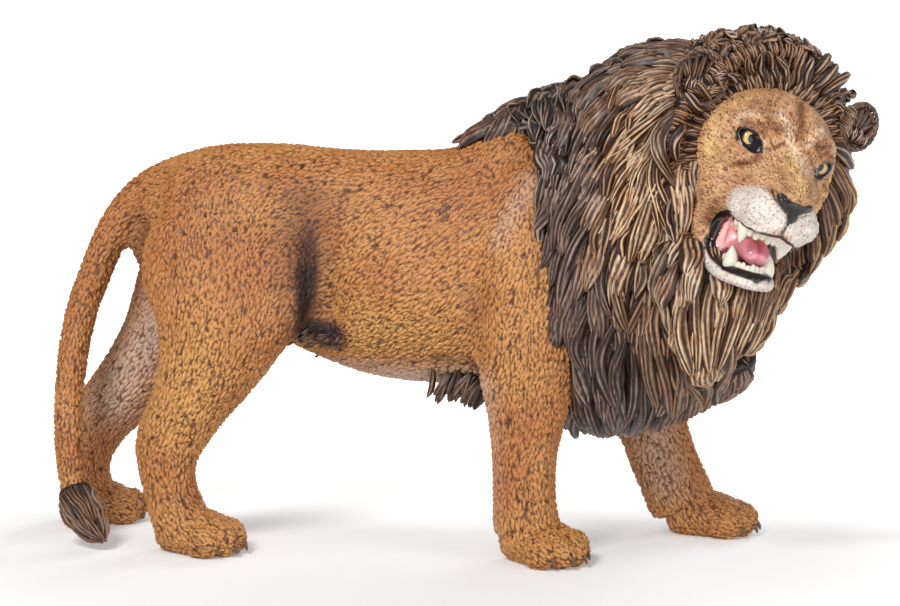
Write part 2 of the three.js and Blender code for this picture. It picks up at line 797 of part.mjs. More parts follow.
// Crest locks lie back over the withers in rows that step like tiles.
const crestRowShares = [0.96, 0.76, 0.56, 0.36];
const crestLocksPerRow = 5;
const crestTurns = [32, 148];
const crestReachShare = 0.8;
const crestLock = {
  width: lockWidth,
  thickness: lockThickness,
  rootLiftShare: 0.02,
  tipLiftShare: 0.34,
};
function crestLocks() {
  const reach = (crestReachShare * lockLength) / crestLength;
  return crestRowShares.flatMap((share, row) =>
    Array.from({ length: crestLocksPerRow }, (_, k) => {
      const turn = lerp(...crestTurns, (k + (row % 2) / 2) / crestLocksPerRow);
      return lock(crest, [share, turn], [share - reach, turn], crestLock);
    }),
  );
}

// Ruff locks fan back from the face all round it, in two rows.
const ruffLockCount = 14;
const ruffRowShares = [0.97, 0.8];
const ruffFallDegrees = 14;
const ruffLock = {
  width: ruffLockWidth,
  thickness: ruffLockThickness,
  rootLiftShare: 0.05,
  tipLiftShare: 0.35,
};
function ruffLocks(grow) {
  const reach = ruffLockLength / ruffDepth / 2;
  return ruffRowShares.flatMap((share, row) =>
    Array.from({ length: ruffLockCount }, (_, k) => {
      const turn = 270 + ((k + row / 2) * 360) / ruffLockCount;
      const fall = cos(degToRad(turn)) * ruffFallDegrees;
      return lock(ruffCore, [share, turn], [share - reach, turn - fall], ruffLock, grow);
    }),
  );
}
const beardTurns = [215, 245, 270, 295, 325];
const beardStartShare = 0.25;
const beardEndShares = [0.8, 0.95];
function beardLocks(grow) {
  return beardTurns.map((turn, i) => {
    const around = turn - 180;
    const [from, to] = [beardStartShare, beardEndShares[i % 2]];
    return lock(beard, [from, around], [to, around], ruffLock, grow);
  });
}
function ruffSolid(grow = 0) {
  const core = [ruffCore.whole(6, 16, grow), beard.whole(5, 10, grow)];
  return joined([...core, ...ruffLocks(grow), ...beardLocks(grow)]);
}

// The head's neighbours are cut in the head's frame, the body's in the figure's

const headGroup = new THREE.Group();
headGroup.position.set(trunkLength + browAhead, browSide, browHeight);
headGroup.rotation.set(headTilt, headLift, headTurn, "ZYX");
headGroup.updateMatrix();
const toFigure = headGroup.matrix;
const toHead = toFigure.clone().invert();

const eyeSeats = joined(mirrored.map((side) => eyeSolid(side, clearance)));
const earSeats = joined(mirrored.map((side) => earSolid(side, clearance)));
const headSeat = joined([headSolid(clearance), jawSolid(clearance), mouthCupSeat]);
const head = mainBody(
  cutBy(headSolid(), mouthGap.whole(5, 10), mouthCupSeat, eyeSeats, ...gumSeats),
);
const lowerJaw = mainBody(
  cutBy(jawSolid(), headSolid(clearance), mouthCupSeat, tongueSolid(clearance), ...gumSeats),
);
const ruff = mainBody(cutBy(ruffSolid(), headSeat, earSeats, moved(bodySeat, toHead)));
const collarCore = [mane.whole(9, 16), crest.whole(8, 10)];
const collar = mainBody(
  cutBy(
    joined([...collarCore, ...collarLocks(), ...crestLocks()]),
    bodySeat,
    moved(joined([ruffSolid(clearance), headSeat, earSeats]), toFigure),
  ),
);
const ears = mirrored.map((side) => mainBody(cutBy(earSolid(side), headSolid(clearance))));

// Materials

const paint = (color, roughness) => new THREE.MeshStandardMaterial({ color, roughness, metalness: 0 });
const coat = paint(0xb9804a, 0.62);
const face = paint(0xc08a55, 0.6);
const darkHair = paint(0x5a4336, 0.6);
const lightHair = paint(0x8a6848, 0.58);
const earBrown = paint(0x4e352a, 0.62);
const ivory = paint(0xe9e2c8, 0.35);
const gumPink = paint(0xb5656a, 0.3);
const tonguePink = paint(0xc07a86, 0.28);
const amber = paint(0x9a6a1f, 0.12);

// Assembly

headGroup.add(
  meshOf("mane_ruff", ruff, lightHair),
  meshOf("head", head, face),
  meshOf("lower_jaw", lowerJaw, face),
  meshOf("mouth_cup", mouthCup(), gumPink),
  meshOf("tongue", mainBody(tongueSolid()), tonguePink),
  meshOf("upper_teeth", upperTeeth, ivory),
  meshOf("lower_teeth", lowerTeeth, ivory),
  meshOf("eye_right", eyeSolid(-1), amber),
  meshOf("eye_left", eyeSolid(1), amber),
  meshOf("ear_right", ears[0], earBrown),
  meshOf("ear_left", ears[1], earBrown),
);

const figure = new THREE.Group();
figure.add(
  meshOf("body_right", mainBody(cutBy(bodyRight, tailSeat)), coat),
  meshOf("body_left", mainBody(cutBy(bodyLeft, tailSeat)), coat),
  meshOf("tail", tailSolid(), coat),
  meshOf("tail_tuft", mainBody(cutBy(tuft.whole(6, 8), tailSeat)), darkHair),
  meshOf("mane_collar", collar, darkHair),
  headGroup,
);

// The origin is under the middle of the figure, on the floor it stands on.
const bounds = new THREE.Box3().setFromObject(figure, true);
const middle = bounds.getCenter(new THREE.Vector3());
figure.position.set(-middle.x, -middle.y, -bounds.min.z);

const lion = new THREE.Group();
lion.name = "lion_figure";
lion.add(figure);

export default lion;
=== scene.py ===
"""Roaring lion toy figure: sculpted fur, hair and face with painted finishes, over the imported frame."""
import math

import bmesh
import bpy
import numpy as np
from mathutils import Matrix, Vector
from mathutils.bvhtree import BVHTree


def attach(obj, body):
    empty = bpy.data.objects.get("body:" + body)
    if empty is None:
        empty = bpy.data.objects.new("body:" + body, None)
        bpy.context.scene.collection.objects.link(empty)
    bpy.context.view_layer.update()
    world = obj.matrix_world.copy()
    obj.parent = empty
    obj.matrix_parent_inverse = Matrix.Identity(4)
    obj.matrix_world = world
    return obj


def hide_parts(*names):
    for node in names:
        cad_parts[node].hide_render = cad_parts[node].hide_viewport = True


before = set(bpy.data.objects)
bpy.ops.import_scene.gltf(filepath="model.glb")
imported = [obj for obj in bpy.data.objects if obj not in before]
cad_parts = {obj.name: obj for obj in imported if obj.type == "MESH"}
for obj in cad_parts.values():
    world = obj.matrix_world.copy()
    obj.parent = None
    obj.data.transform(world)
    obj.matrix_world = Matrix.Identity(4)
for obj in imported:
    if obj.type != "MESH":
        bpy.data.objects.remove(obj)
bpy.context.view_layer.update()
scene = bpy.context.scene

# The figure is sculpted in millimetres in axes of its own: +X forward, +Y to the animal's left,
# +Z up from the floor. A finished mesh gets this shift and scale into the frame.
SCULPT_TO_FRAME = np.array((-0.6166, 7.4251, 0.0))
METRES = 0.001
LEFT = (0.0, 1.0, 0.0)
UP = (0.0, 0.0, 1.0)
FUR_GRAIN = 0.25
FACE_GRAIN = 0.21


# Arrays

def unit(v):
    return v / np.maximum(np.linalg.norm(v, axis=-1, keepdims=True), 1e-9)


def dot(a, b):
    return np.sum(a * b, axis=-1)


def step(low, high, x):
    s = np.clip((x - low) / (high - low), 0.0, 1.0)
    return s * s * (3.0 - 2.0 * s)


def smooth_run(rows, steps):
    """Rows of numbers, eased into a smooth run of steps + 1 rows."""
    rows = np.array(rows, float)
    t = np.linspace(0.0, len(rows) - 1.0, steps + 1)
    i = np.minimum(t.astype(int), len(rows) - 2)
    f = (t - i)[:, None]
    before, here, ahead = rows[np.maximum(i - 1, 0)], rows[i], rows[i + 1]
    after = rows[np.minimum(i + 2, len(rows) - 1)]
    bend = 2.0 * before - 5.0 * here + 4.0 * ahead - after
    turn = 3.0 * here - before - 3.0 * ahead + after
    return 0.5 * (2.0 * here + (ahead - before) * f + bend * f ** 2 + turn * f ** 3)


def segment_distance(points, a, b):
    a, b = np.array(a, float), np.array(b, float)
    run = b - a
    t = np.clip((points - a) @ run / max(run @ run, 1e-9), 0.0, 1.0)
    return np.linalg.norm(points - a - t[:, None] * run, axis=1)


# Meshes

def coords(mesh):
    co = np.empty(len(mesh.vertices) * 3, np.float32)
    mesh.vertices.foreach_get("co", co)
    return co.reshape(-1, 3).astype(float)


def set_coords(mesh, co):
    mesh.vertices.foreach_set("co", np.ascontiguousarray(co, np.float32).ravel())
    mesh.update()


def normals_of(mesh):
    out = np.empty(len(mesh.vertices) * 3, np.float32)
    mesh.vertex_normals.foreach_get("vector", out)
    return out.reshape(-1, 3).astype(float)


def pairs_of(mesh):
    out = np.empty(len(mesh.edges) * 2, np.int32)
    mesh.edges.foreach_get("vertices", out)
    return out.reshape(-1, 2)


def relaxed(co, pairs, times, weight=0.5):
    """Each vertex eased towards the middle of its neighbours."""
    n = len(co)
    count = np.bincount(pairs.ravel(), minlength=n)
    for _ in range(times):
        near = np.empty_like(co)
        for axis in range(3):
            values = co[:, axis]
            total = np.bincount(pairs[:, 0], values[pairs[:, 1]], n)
            total += np.bincount(pairs[:, 1], values[pairs[:, 0]], n)
            near[:, axis] = total / np.maximum(count, 1)
        co = co + (near - co) * (weight if np.isscalar(weight) else weight[:, None])
    return co


def attribute(mesh, name, values):
    layer = mesh.attributes.new(name, "FLOAT", "POINT")
    layer.data.foreach_set("value", np.ascontiguousarray(values, np.float32))


def tube(rows, steps, sides, across=LEFT, grow=0.0):
    """A closed skin of oval rings over rows of (x, y, z, half height, half width)."""
    run = smooth_run(rows, steps)
    at, high_half, wide_half = run[:, :3], run[:, 3] + grow, run[:, 4] + grow
    ahead = unit(np.gradient(at, axis=0))
    wide = unit(np.array(across) - ahead * (ahead @ np.array(across))[:, None])
    high = np.cross(ahead, wide)
    bm = bmesh.new()
    loops = []
    for i in range(len(at)):
        columns = (wide[i] * wide_half[i], high[i] * high_half[i], ahead[i])
        matrix = Matrix([[*(c[k] for c in columns), at[i][k]] for k in range(3)] + [[0, 0, 0, 1]])
        ring = bmesh.ops.create_circle(bm, segments=sides, radius=1.0, matrix=matrix)["verts"]
        loops.append(list({e for v in ring for e in v.link_edges}))
    for first, second in zip(loops, loops[1:]):
        bmesh.ops.bridge_loops(bm, edges=first + second)
    bmesh.ops.holes_fill(bm, edges=loops[0] + loops[-1], sides=0)
    bmesh.ops.recalc_face_normals(bm, faces=bm.faces)
    return bm


def mesh_of(bm, name="clay"):
    """A mesh made from a bmesh, which is then freed."""
    mesh = bpy.data.meshes.new(name)
    bm.to_mesh(mesh)
    bm.free()
    return mesh

def unit_tube(rings, sides):
    """A closed tube along +X with a ring at each whole number, to be given other shapes."""
    return mesh_of(tube([(x, 0.0, 0.0, 1.0, 1.0) for x in range(rings)], rings - 1, sides))

def egg(centre, halves, matrix=None, columns=16, rows=10):
    bm = bmesh.new()
    place = Matrix.Translation(centre) @ Matrix.Diagonal((*halves, 1.0))
    place = matrix @ place if matrix else place
    bmesh.ops.create_uvsphere(bm, u_segments=columns, v_segments=rows, radius=1.0, matrix=place)
    return bm


def joined(forms):
    whole = bmesh.new()
    for bm in forms:
        part = mesh_of(bm)
        whole.from_mesh(part)
        bpy.data.meshes.remove(part)
    return mesh_of(whole)


def remeshed(mesh, grain):
    """One skin round all the forms of a mesh, with faces about a grain wide."""
    obj = bpy.data.objects.new("clay", mesh)
    scene.collection.objects.link(obj)
    voxels = obj.modifiers.new("voxels", "REMESH")
    voxels.mode = "VOXEL"
    voxels.voxel_size = grain
    seen = bpy.context.evaluated_depsgraph_get()
    skin = bpy.data.meshes.new_from_object(obj.evaluated_get(seen), depsgraph=seen)
    bpy.data.objects.remove(obj)
    bpy.data.meshes.remove(mesh)
    return skin


def smoothed(mesh):
    """A mesh cut once more and rounded, as a bmesh."""
    bm = bmesh.new()
    bm.from_mesh(mesh)
    bmesh.ops.subdivide_edges(bm, edges=bm.edges, cuts=1, use_grid_fill=True, smooth=1.0)
    bpy.data.meshes.remove(mesh)
    return bm

def finished(name, mesh, node_names, material):
    """A sculpted mesh, moved into the frame, smooth-shaded with its material and hung under the root, with
    the nodes it stands for hidden.
    """
    set_coords(mesh, (coords(mesh) + SCULPT_TO_FRAME) * METRES)
    mesh.polygons.foreach_set("use_smooth", np.ones(len(mesh.polygons), bool))
    mesh.materials.clear()
    mesh.materials.append(material)
    mesh.name = name
    piece = bpy.data.objects.new(name, mesh)
    scene.collection.objects.link(piece)
    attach(piece, "root")
    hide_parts(*node_names)


def half_of(mesh, plane, side):
    """The part of a mesh on one side of a plane, closed at the cut."""
    bm = bmesh.new()
    bm.from_mesh(mesh)
    everything = bm.verts[:] + bm.edges[:] + bm.faces[:]
    where, way = (Vector(v) for v in plane)
    cut = bmesh.ops.bisect_plane(bm, geom=everything, plane_co=where, plane_no=way * side, clear_inner=True)
    rim = [e for e in cut["geom_cut"] if isinstance(e, bmesh.types.BMEdge)]
    bmesh.ops.holes_fill(bm, edges=rim, sides=0)
    for edge in rim:
        edge.smooth = False
    return mesh_of(bm)


# Paint

def srgb(r, g, b):
    return (*(((c / 255 + 0.055) / 1.055) ** 2.4 if c > 10 else c / 3294.6 for c in (r, g, b)), 1.0)


class Value:
    """A shader socket that sums and products can be written with."""

    def __init__(self, paint, socket):
        self.paint, self.socket = paint, socket

    def maths(self, operation, *others):
        values = [self, *others]
        node = self.paint.node("ShaderNodeMath", {"operation": operation}, dict(enumerate(values)))
        return Value(self.paint, node.outputs[0])

    def __add__(self, other):
        return self.maths("ADD", other)

    def __mul__(self, other):
        return self.maths("MULTIPLY", other)

    def __sub__(self, other):
        return self.maths("SUBTRACT", other)

    def __rsub__(self, other):
        return (self * -1.0) + other


class Paint:
    """A Principled paint whose colours are built up in layers."""

    def __init__(self, name, **uniform):
        self.material = bpy.data.materials.new(name)
        self.material.use_nodes = True
        self.tree = self.material.node_tree
        self.shader = self.tree.nodes["Principled BSDF"]
        for socket, value in uniform.items():
            self.shader.inputs[socket.replace("_", " ")].default_value = value
        self.where = self.node("ShaderNodeTexCoord").outputs["Object"]

    def node(self, kind, settings=None, sockets=None):
        made = self.tree.nodes.new(kind)
        for key, value in (settings or {}).items():
            setattr(made, key, value)
        for key, value in (sockets or {}).items():
            value = value.socket if isinstance(value, Value) else value
            if isinstance(value, bpy.types.NodeSocket):
                self.tree.links.new(value, made.inputs[key])
            else:
                made.inputs[key].default_value = value
        return made

    def mask(self, name):
        made = self.node("ShaderNodeAttribute", {"attribute_name": name})
        return Value(self, made.outputs["Fac"])

    def noise(self, size, stretch=None):
        """Soft noise, 0 to 1, of a size in millimetres."""
        place = self.where
        if stretch:
            place = self.node("ShaderNodeMapping", None, {"Vector": place, "Scale": stretch}).outputs[0]
        sockets = {"Vector": place, "Scale": 1000.0 / size, "Detail": 2.0}
        made = self.node("ShaderNodeTexNoise", None, sockets)
        return Value(self, made.outputs[0])

    def between(self, value, low, high):
        eased = {"interpolation_type": "SMOOTHSTEP"}
        made = self.node("ShaderNodeMapRange", eased, {0: value, 1: low, 2: high})
        return Value(self, made.outputs[0])

    def mix(self, mask, under, over, blend="MIX"):
        settings = {"data_type": "RGBA", "blend_type": blend}
        return self.node("ShaderNodeMix", settings, {0: mask, 6: under, 7: over}).outputs[2]

    def feed(self, socket, value):
        value = value.socket if isinstance(value, Value) else value
        self.tree.links.new(value, self.shader.inputs[socket])


# Stage: camera, floor and light

LENS_TURN = math.radians(7.0)
LENS_RISE = math.radians(8.0)
LENS_AWAY = 520.0
# The lens's length in the photograph's pixels, the photograph's middle and width, and the sensor
LENS_PIXELS = 3172.0
MIDDLE_U, MIDDLE_V = 450.0, 303.0
PICTURE_WIDE = 900.0
SENSOR_WIDE = 36.0
LOOKED_AT = np.array((0.0, 0.0, 40.0))
LENS_BACK = np.array((
    math.sin(LENS_TURN) * math.cos(LENS_RISE),
    -math.cos(LENS_TURN) * math.cos(LENS_RISE),
    math.sin(LENS_RISE),
))


def framed(point):
    return Vector((np.array(point) + SCULPT_TO_FRAME) * METRES)


def add_camera():
    back = Vector(LENS_BACK)
    data = bpy.data.cameras.new("camera")
    data.lens = LENS_PIXELS / PICTURE_WIDE * SENSOR_WIDE
    data.sensor_width = SENSOR_WIDE
    data.clip_start, data.clip_end = 0.01, 50.0
    camera = bpy.data.objects.new("camera", data)
    camera.location = framed(LOOKED_AT) + back * LENS_AWAY * METRES
    camera.rotation_mode = "QUATERNION"
    camera.rotation_quaternion = (-back).to_track_quat("-Z", "Y")
    scene.collection.objects.link(camera)
    scene.camera = camera


def add_lamp(name, place, size, watts):
    data = bpy.data.lights.new(name, "AREA")
    data.shape = "DISK"
    data.size = size * METRES
    data.energy = watts
    lamp = bpy.data.objects.new(name, data)
    lamp.location = framed(place)
    lamp.rotation_mode = "QUATERNION"
    lamp.rotation_quaternion = (framed(LOOKED_AT) - framed(place)).to_track_quat("-Z", "Y")
    scene.collection.objects.link(lamp)


def add_floor():
    paint = Paint("floor_card", Roughness=0.9, Base_Color=(0.9, 0.9, 0.9, 1.0), Emission_Strength=1.0)
    # Seen by the camera, the floor glows white: faintly near the figure, fully away from it and behind it.
    # This is painted light that lifts the shadow cast behind the figure and keeps it only round the feet.
    rays = paint.node("ShaderNodeLightPath").outputs
    seen = Value(paint, rays["Is Camera Ray"]).maths("MAXIMUM", rays["Is Glossy Ray"])
    gap = paint.node("ShaderNodeVectorMath", {"operation": "LENGTH"}, {0: paint.where})
    deep = paint.node("ShaderNodeVectorMath", {"operation": "DOT_PRODUCT"}, {0: paint.where, 1: LEFT})
    behind = paint.between(deep.outputs["Value"], 0.012, 0.04) * 0.5
    far = paint.between(gap.outputs["Value"], 0.045, 0.2).maths("MAXIMUM", behind) * 0.9 + 0.14
    paint.feed("Emission Color", paint.mix(seen * far, (0.0, 0.0, 0.0, 1.0), (1.0, 1.0, 1.0, 1.0)))
    bm = bmesh.new()
    bmesh.ops.create_grid(bm, x_segments=1, y_segments=1, size=8.0)
    mesh = mesh_of(bm, "floor")
    mesh.materials.append(paint.material)
    floor = bpy.data.objects.new("floor", mesh)
    scene.collection.objects.link(floor)


def add_world():
    world = bpy.data.worlds.new("studio")
    world.use_nodes = True
    back = world.node_tree.nodes["Background"]
    back.inputs["Color"].default_value = (1.0, 1.0, 1.0, 1.0)
    back.inputs["Strength"].default_value = 0.3
    scene.world = world


scene.view_settings.view_transform = "Standard"
add_camera()
add_floor()
add_world()
add_lamp("key", (-160.0, -420.0, 420.0), 180.0, 2.1)
add_lamp("fill", (420.0, -260.0, 200.0), 300.0, 0.5)
add_lamp("front", (120.0, -520.0, 130.0), 300.0, 0.55)
add_lamp("rim", (200.0, 420.0, 300.0), 300.0, 0.8)


# Coat: trunk, legs, paws and tail in one skin

TRUNK = [
    (-50.5, 0, 53.0, 2.0, 2.0),
    (-49.0, 0, 54.0, 6.0, 6.0),
    (-45.0, 0, 53.5, 9.8, 10.0),
    (-38.0, 0, 53.5, 12.2, 12.2),
    (-30.0, 0, 51.5, 14.8, 11.9),
    (-20.0, 0, 48.5, 17.0, 11.6),
    (-10.0, 0, 46.4, 18.7, 13.0),
    (0.0, 0, 46.0, 19.2, 14.0),
    (10.0, 0, 46.5, 20.0, 14.2),
    (20.0, 0, 48.0, 19.6, 13.3),
    (28.0, 0, 52.0, 16.4, 12.2),
    (34.0, 0, 55.9, 12.0, 9.9),
]
HIND_RIGHT = [
    (-37.0, -7.5, 56.0, 9.4, 4.5),
    (-36.5, -8.5, 50.0, 13.0, 6.0),
    (-35.5, -9.5, 43.0, 12.8, 6.2),
    (-36.0, -10.5, 37.0, 11.0, 6.0),
    (-38.4, -11.0, 30.0, 7.9, 5.2),
    (-41.8, -11.3, 23.5, 6.1, 4.6),
    (-44.8, -11.3, 17.9, 5.5, 4.0),
    (-45.2, -11.2, 12.5, 4.4, 3.8),
    (-44.3, -11.2, 8.5, 4.3, 3.9),
    (-42.8, -11.3, 4.5, 4.9, 4.5),
]
HIND_LEFT = [
    (-39.2, 7.5, 56.0, 9.4, 4.5),
    (-40.3, 8.5, 50.0, 12.5, 6.0),
    (-42.6, 9.5, 43.0, 11.7, 6.2),
    (-45.9, 10.2, 37.0, 9.9, 6.0),
    (-50.4, 10.2, 30.0, 7.8, 5.2),
    (-56.0, 10.0, 23.5, 6.2, 4.6),
    (-60.5, 9.7, 18.5, 5.3, 4.0),
    (-63.3, 9.6, 12.9, 4.3, 3.8),
    (-64.1, 9.6, 8.5, 4.0, 3.9),
    (-63.3, 9.6, 4.5, 4.7, 4.5),
]
FORE_RIGHT = [
    (15.6, -7.5, 61.8, 7.1, 3.6),
    (14.8, -10.0, 52.0, 10.3, 5.4),
    (14.2, -10.8, 42.0, 10.1, 5.6),
    (14.0, -11.2, 33.0, 8.5, 5.5),
    (13.9, -11.5, 25.0, 6.6, 5.2),
    (13.5, -11.6, 18.0, 5.2, 4.8),
    (13.4, -11.6, 12.0, 4.9, 4.6),
    (13.6, -11.6, 7.8, 5.1, 4.8),
    (14.1, -11.6, 4.2, 5.5, 5.0),
]
FORE_LEFT = [
    (16.2, 7.5, 61.8, 7.1, 3.6),
    (18.0, 10.0, 52.0, 10.1, 5.4),
    (21.0, 10.8, 42.0, 9.5, 5.6),
    (25.2, 11.6, 33.0, 8.0, 5.5),
    (29.2, 12.0, 25.0, 6.4, 5.2),
    (32.4, 12.2, 18.6, 5.7, 4.8),
    (34.5, 12.4, 12.6, 5.5, 4.7),
    (36.3, 12.6, 8.4, 5.5, 4.9),
    (38.1, 12.7, 4.2, 5.7, 5.2),
]
TAIL = [
    (-43.0, 0.5, 61.6, 2.8, 2.8),
    (-50.0, 0.5, 58.4, 3.0, 3.0),
    (-55.5, 0.0, 52.3, 2.9, 2.9),
    (-59.4, -0.6, 43.6, 2.8, 2.8),
    (-61.6, -2.0, 36.7, 2.7, 2.7),
    (-62.7, -4.2, 28.0, 2.6, 2.6),
    (-62.7, -6.8, 18.7, 2.5, 2.5),
    (-61.4, -9.5, 9.7, 2.3, 2.3),
    (-60.4, -10.6, 7.5, 2.2, 2.2),
]
LEGS = [HIND_RIGHT, HIND_LEFT, FORE_RIGHT, FORE_LEFT]
# Where each paw stands (x, y), and which way it points, in degrees
PAWS = [
    ((-40.56, -11.6), -22.0),
    ((-62.0, 9.72), 24.0),
    ((16.0, -12.62), -38.0),
    ((41.6, 12.76), -8.0),
]
PAW_PAD = [
    (-6.2, 0, 3.0, 1.6, 2.1),
    (-5.0, 0, 3.0, 3.4, 4.1),
    (-1.1, 0, 3.2, 4.0, 5.3),
    (2.8, 0, 2.9, 3.7, 5.5),
    (5.0, 0, 2.4, 2.7, 4.6),
]
TOES = [(3.8, -4.1), (5.6, -1.45), (5.6, 1.45), (3.8, 4.1)]
TOE_HALVES = (3.3, 1.95, 2.8)
# A claw from root to tip: (how far ahead of the toe's middle, height, radius)
CLAW = [(2.4, 2.1, 0.45), (3.0, 1.8, 0.4), (3.4, 1.2, 0.3), (3.5, 0.7, 0.1)]
POUCH = ((-48.5, 0.0, 48.1), (4.5, 4.5, 4.5))


def paw_matrix(paw):
    (x, y), turn = paw
    return Matrix.Translation((x, y, 0.0)) @ Matrix.Rotation(math.radians(turn), 4, "Z")


def paw_forms(paw):
    matrix = paw_matrix(paw)
    pad = tube(PAW_PAD, 10, 20)
    bmesh.ops.transform(pad, matrix=matrix, verts=pad.verts)
    toes = [egg((x, y, 2.5), TOE_HALVES, matrix) for x, y in TOES]
    return [pad, *toes]


# Muscles, bones and hollows, worked into the clay before the fur: (from, to, how wide, how high)
BRUSHES = [
    # flank hollow ahead of the haunch, and the fold of skin down to the knee
    ((-19.0, -12.5, 52.0), (-19.5, -12.0, 38.0), 2.9, -2.1),
    ((-19.3, -12.0, 42.0), (-20.0, -11.0, 33.0), 2.5, -1.9),
    ((-23.8, -12.5, 51.0), (-23.9, -12.0, 38.0), 3.0, 2.0),
    ((-25.5, 12.0, 50.0), (-27.5, 11.5, 36.0), 4.2, -1.5),
    # hip bone and the muscle over the thigh
    ((-31.0, -10.0, 61.0), (-29.0, -11.5, 52.0), 2.6, 0.6),
    ((-31.0, 10.0, 61.0), (-29.0, 11.5, 52.0), 2.6, 0.6),
    ((-40.0, -14.0, 46.0), (-36.0, -15.5, 36.0), 5.5, 0.9),
    ((-44.0, 14.0, 46.0), (-44.0, 15.5, 36.0), 5.5, 0.9),
    ((-47.5, -10.0, 45.0), (-46.5, -13.0, 33.0), 2.2, 0.5),
    # hollow beside the tail root
    ((-46.0, -7.0, 57.0), (-48.0, -5.0, 50.0), 2.4, -0.7),
    ((-46.0, 7.0, 57.0), (-48.0, 5.0, 50.0), 2.4, -0.7),
    # knees, and the hollows ahead of the heel tendons
    ((-30.5, -14.0, 30.0), (-32.0, -14.0, 27.0), 2.8, 0.5),
    ((-46.0, -16.5, 24.0), (-48.0, -16.0, 18.5), 1.5, -0.75),
    ((-45.6, -16.0, 14.5), (-44.8, -16.0, 8.0), 1.3, -0.5),
    ((-60.5, 5.5, 22.0), (-63.0, 5.5, 17.0), 1.5, -0.6),
    ((-60.0, 14.5, 24.0), (-63.0, 14.5, 18.0), 1.5, -0.7),
    # shoulder blade, its rear edge and the muscle below
    ((15.0, -13.0, 63.0), (9.0, -15.0, 53.0), 2.6, 0.8),
    ((15.0, 13.0, 63.0), (10.0, 15.0, 53.0), 2.6, 0.8),
    ((8.0, -13.5, 60.0), (5.0, -15.0, 50.0), 2.4, -0.5),
    ((12.0, -16.5, 50.0), (10.0, -17.0, 36.0), 4.2, 0.7),
    ((14.0, 16.5, 50.0), (15.0, 17.0, 38.0), 4.2, 0.7),
    # crease between ribs and upper arm, and the elbow
    ((5.5, -15.0, 50.0), (5.0, -15.2, 33.0), 2.0, -1.0),
    ((8.0, 15.0, 50.0), (10.5, 15.2, 34.0), 2.0, -1.0),
    ((7.5, -15.0, 33.0), (8.0, -15.0, 30.0), 2.2, 0.6),
    # forearm tendons and wrist
    ((12.5, -17.0, 24.0), (12.0, -17.2, 12.0), 1.3, 0.45),
    ((15.2, -17.0, 24.0), (15.0, -17.2, 13.0), 1.2, -0.5),
    ((33.0, 7.0, 22.0), (36.0, 7.2, 12.0), 1.3, 0.6),
    ((30.5, 7.0, 22.0), (33.5, 7.0, 12.0), 1.3, -0.5),
    # ribs and the tuck of the belly
    ((-4.0, -14.0, 52.0), (-10.0, -13.0, 38.0), 6.0, 0.5),
    ((-4.0, 14.0, 52.0), (-10.0, 13.0, 38.0), 6.0, 0.5),
    ((-46.0, 0.0, 65.5), (28.0, 0.0, 67.0), 2.0, 0.25),
    # top of the shoulders, up to the crest of the mane
    ((6.5, -4.0, 66.0), (10.0, -5.0, 66.0), 4.0, 1.5),
    ((6.5, 4.0, 66.0), (10.0, 5.0, 66.0), 4.0, 1.5),
    ((12.0, -6.0, 66.0), (17.0, -8.0, 65.0), 5.0, 2.4),
    ((12.0, 6.0, 66.0), (17.0, 8.0, 65.0), 5.0, 2.4),
]


def worked(mesh, brushes):
    co, normals = coords(mesh), normals_of(mesh)
    for start, end, radius, height in brushes:
        amount = height * np.exp(-((segment_distance(co, start, end) / radius) ** 2))
        co = co + normals * amount[:, None]
    return co


def coat_clay():
    forms = [tube(TRUNK, 44, 48), egg(*POUCH)]
    forms += [tube(leg, 36, 32, grow=0.25) for leg in LEGS]
    forms.append(tube(TAIL, 60, 20, grow=0.15))
    rough = remeshed(joined(forms), 0.8)
    co = relaxed(worked(rough, BRUSHES), pairs_of(rough), 14)
    set_coords(rough, co)
    forms = [smoothed(rough)]
    for paw in PAWS:
        forms += paw_forms(paw)
    skin = remeshed(joined(forms), FUR_GRAIN)
    co = relaxed(coords(skin), pairs_of(skin), 5)
    co[:, 2] = np.maximum(co[:, 2], 0.0)
    set_coords(skin, co)
    return skin


# Fur: strokes pressed into the skin, each along the way the hair lies

# How deep the fur is, then its strokes' spacing, length and width
BODY_FUR = (0.46, 0.95, 1.25, 0.38)
FACE_FUR = (0.3, 0.6, 0.8, 0.24)
STROKE_WANDER = 0.22
# How far the trunk's hair turns down as it runs back
TRUNK_HAIR_FALL = np.array((0.0, 0.0, -0.75))

def coat_guides():
    """Points inside the forms with their size and the way the hair lies there."""
    places, ways, sizes = [], [], []
    for form in (TRUNK, *LEGS, TAIL):
        run = smooth_run(form, 24)
        ahead = unit(np.gradient(run[:, :3], axis=0))
        places.append(run[:, :3])
        ways.append(unit(TRUNK_HAIR_FALL - ahead) if form is TRUNK else ahead)
        sizes.append((run[:, 3] + run[:, 4]) / 2)
    for paw in PAWS:
        matrix = np.array(paw_matrix(paw))
        for x in (-2.0, 2.0, 5.0):
            places.append((matrix @ (x, 0.0, 3.5, 1.0))[None, :3])
            ways.append(unit(matrix[:3, 0] + np.array((0.0, 0.0, -0.25)))[None])
            sizes.append(np.array([4.5]))
    return np.concatenate(places), np.concatenate(ways), np.concatenate(sizes)


def way_of_hair(points, guides):
    places, ways, sizes = guides
    out = np.zeros_like(points)
    for start in range(0, len(points), 4000):
        some = points[start:start + 4000]
        away = np.linalg.norm(some[:, None] - places[None], axis=2) / sizes
        out[start:start + 4000] = (away ** -6.0) @ ways
    return unit(out)


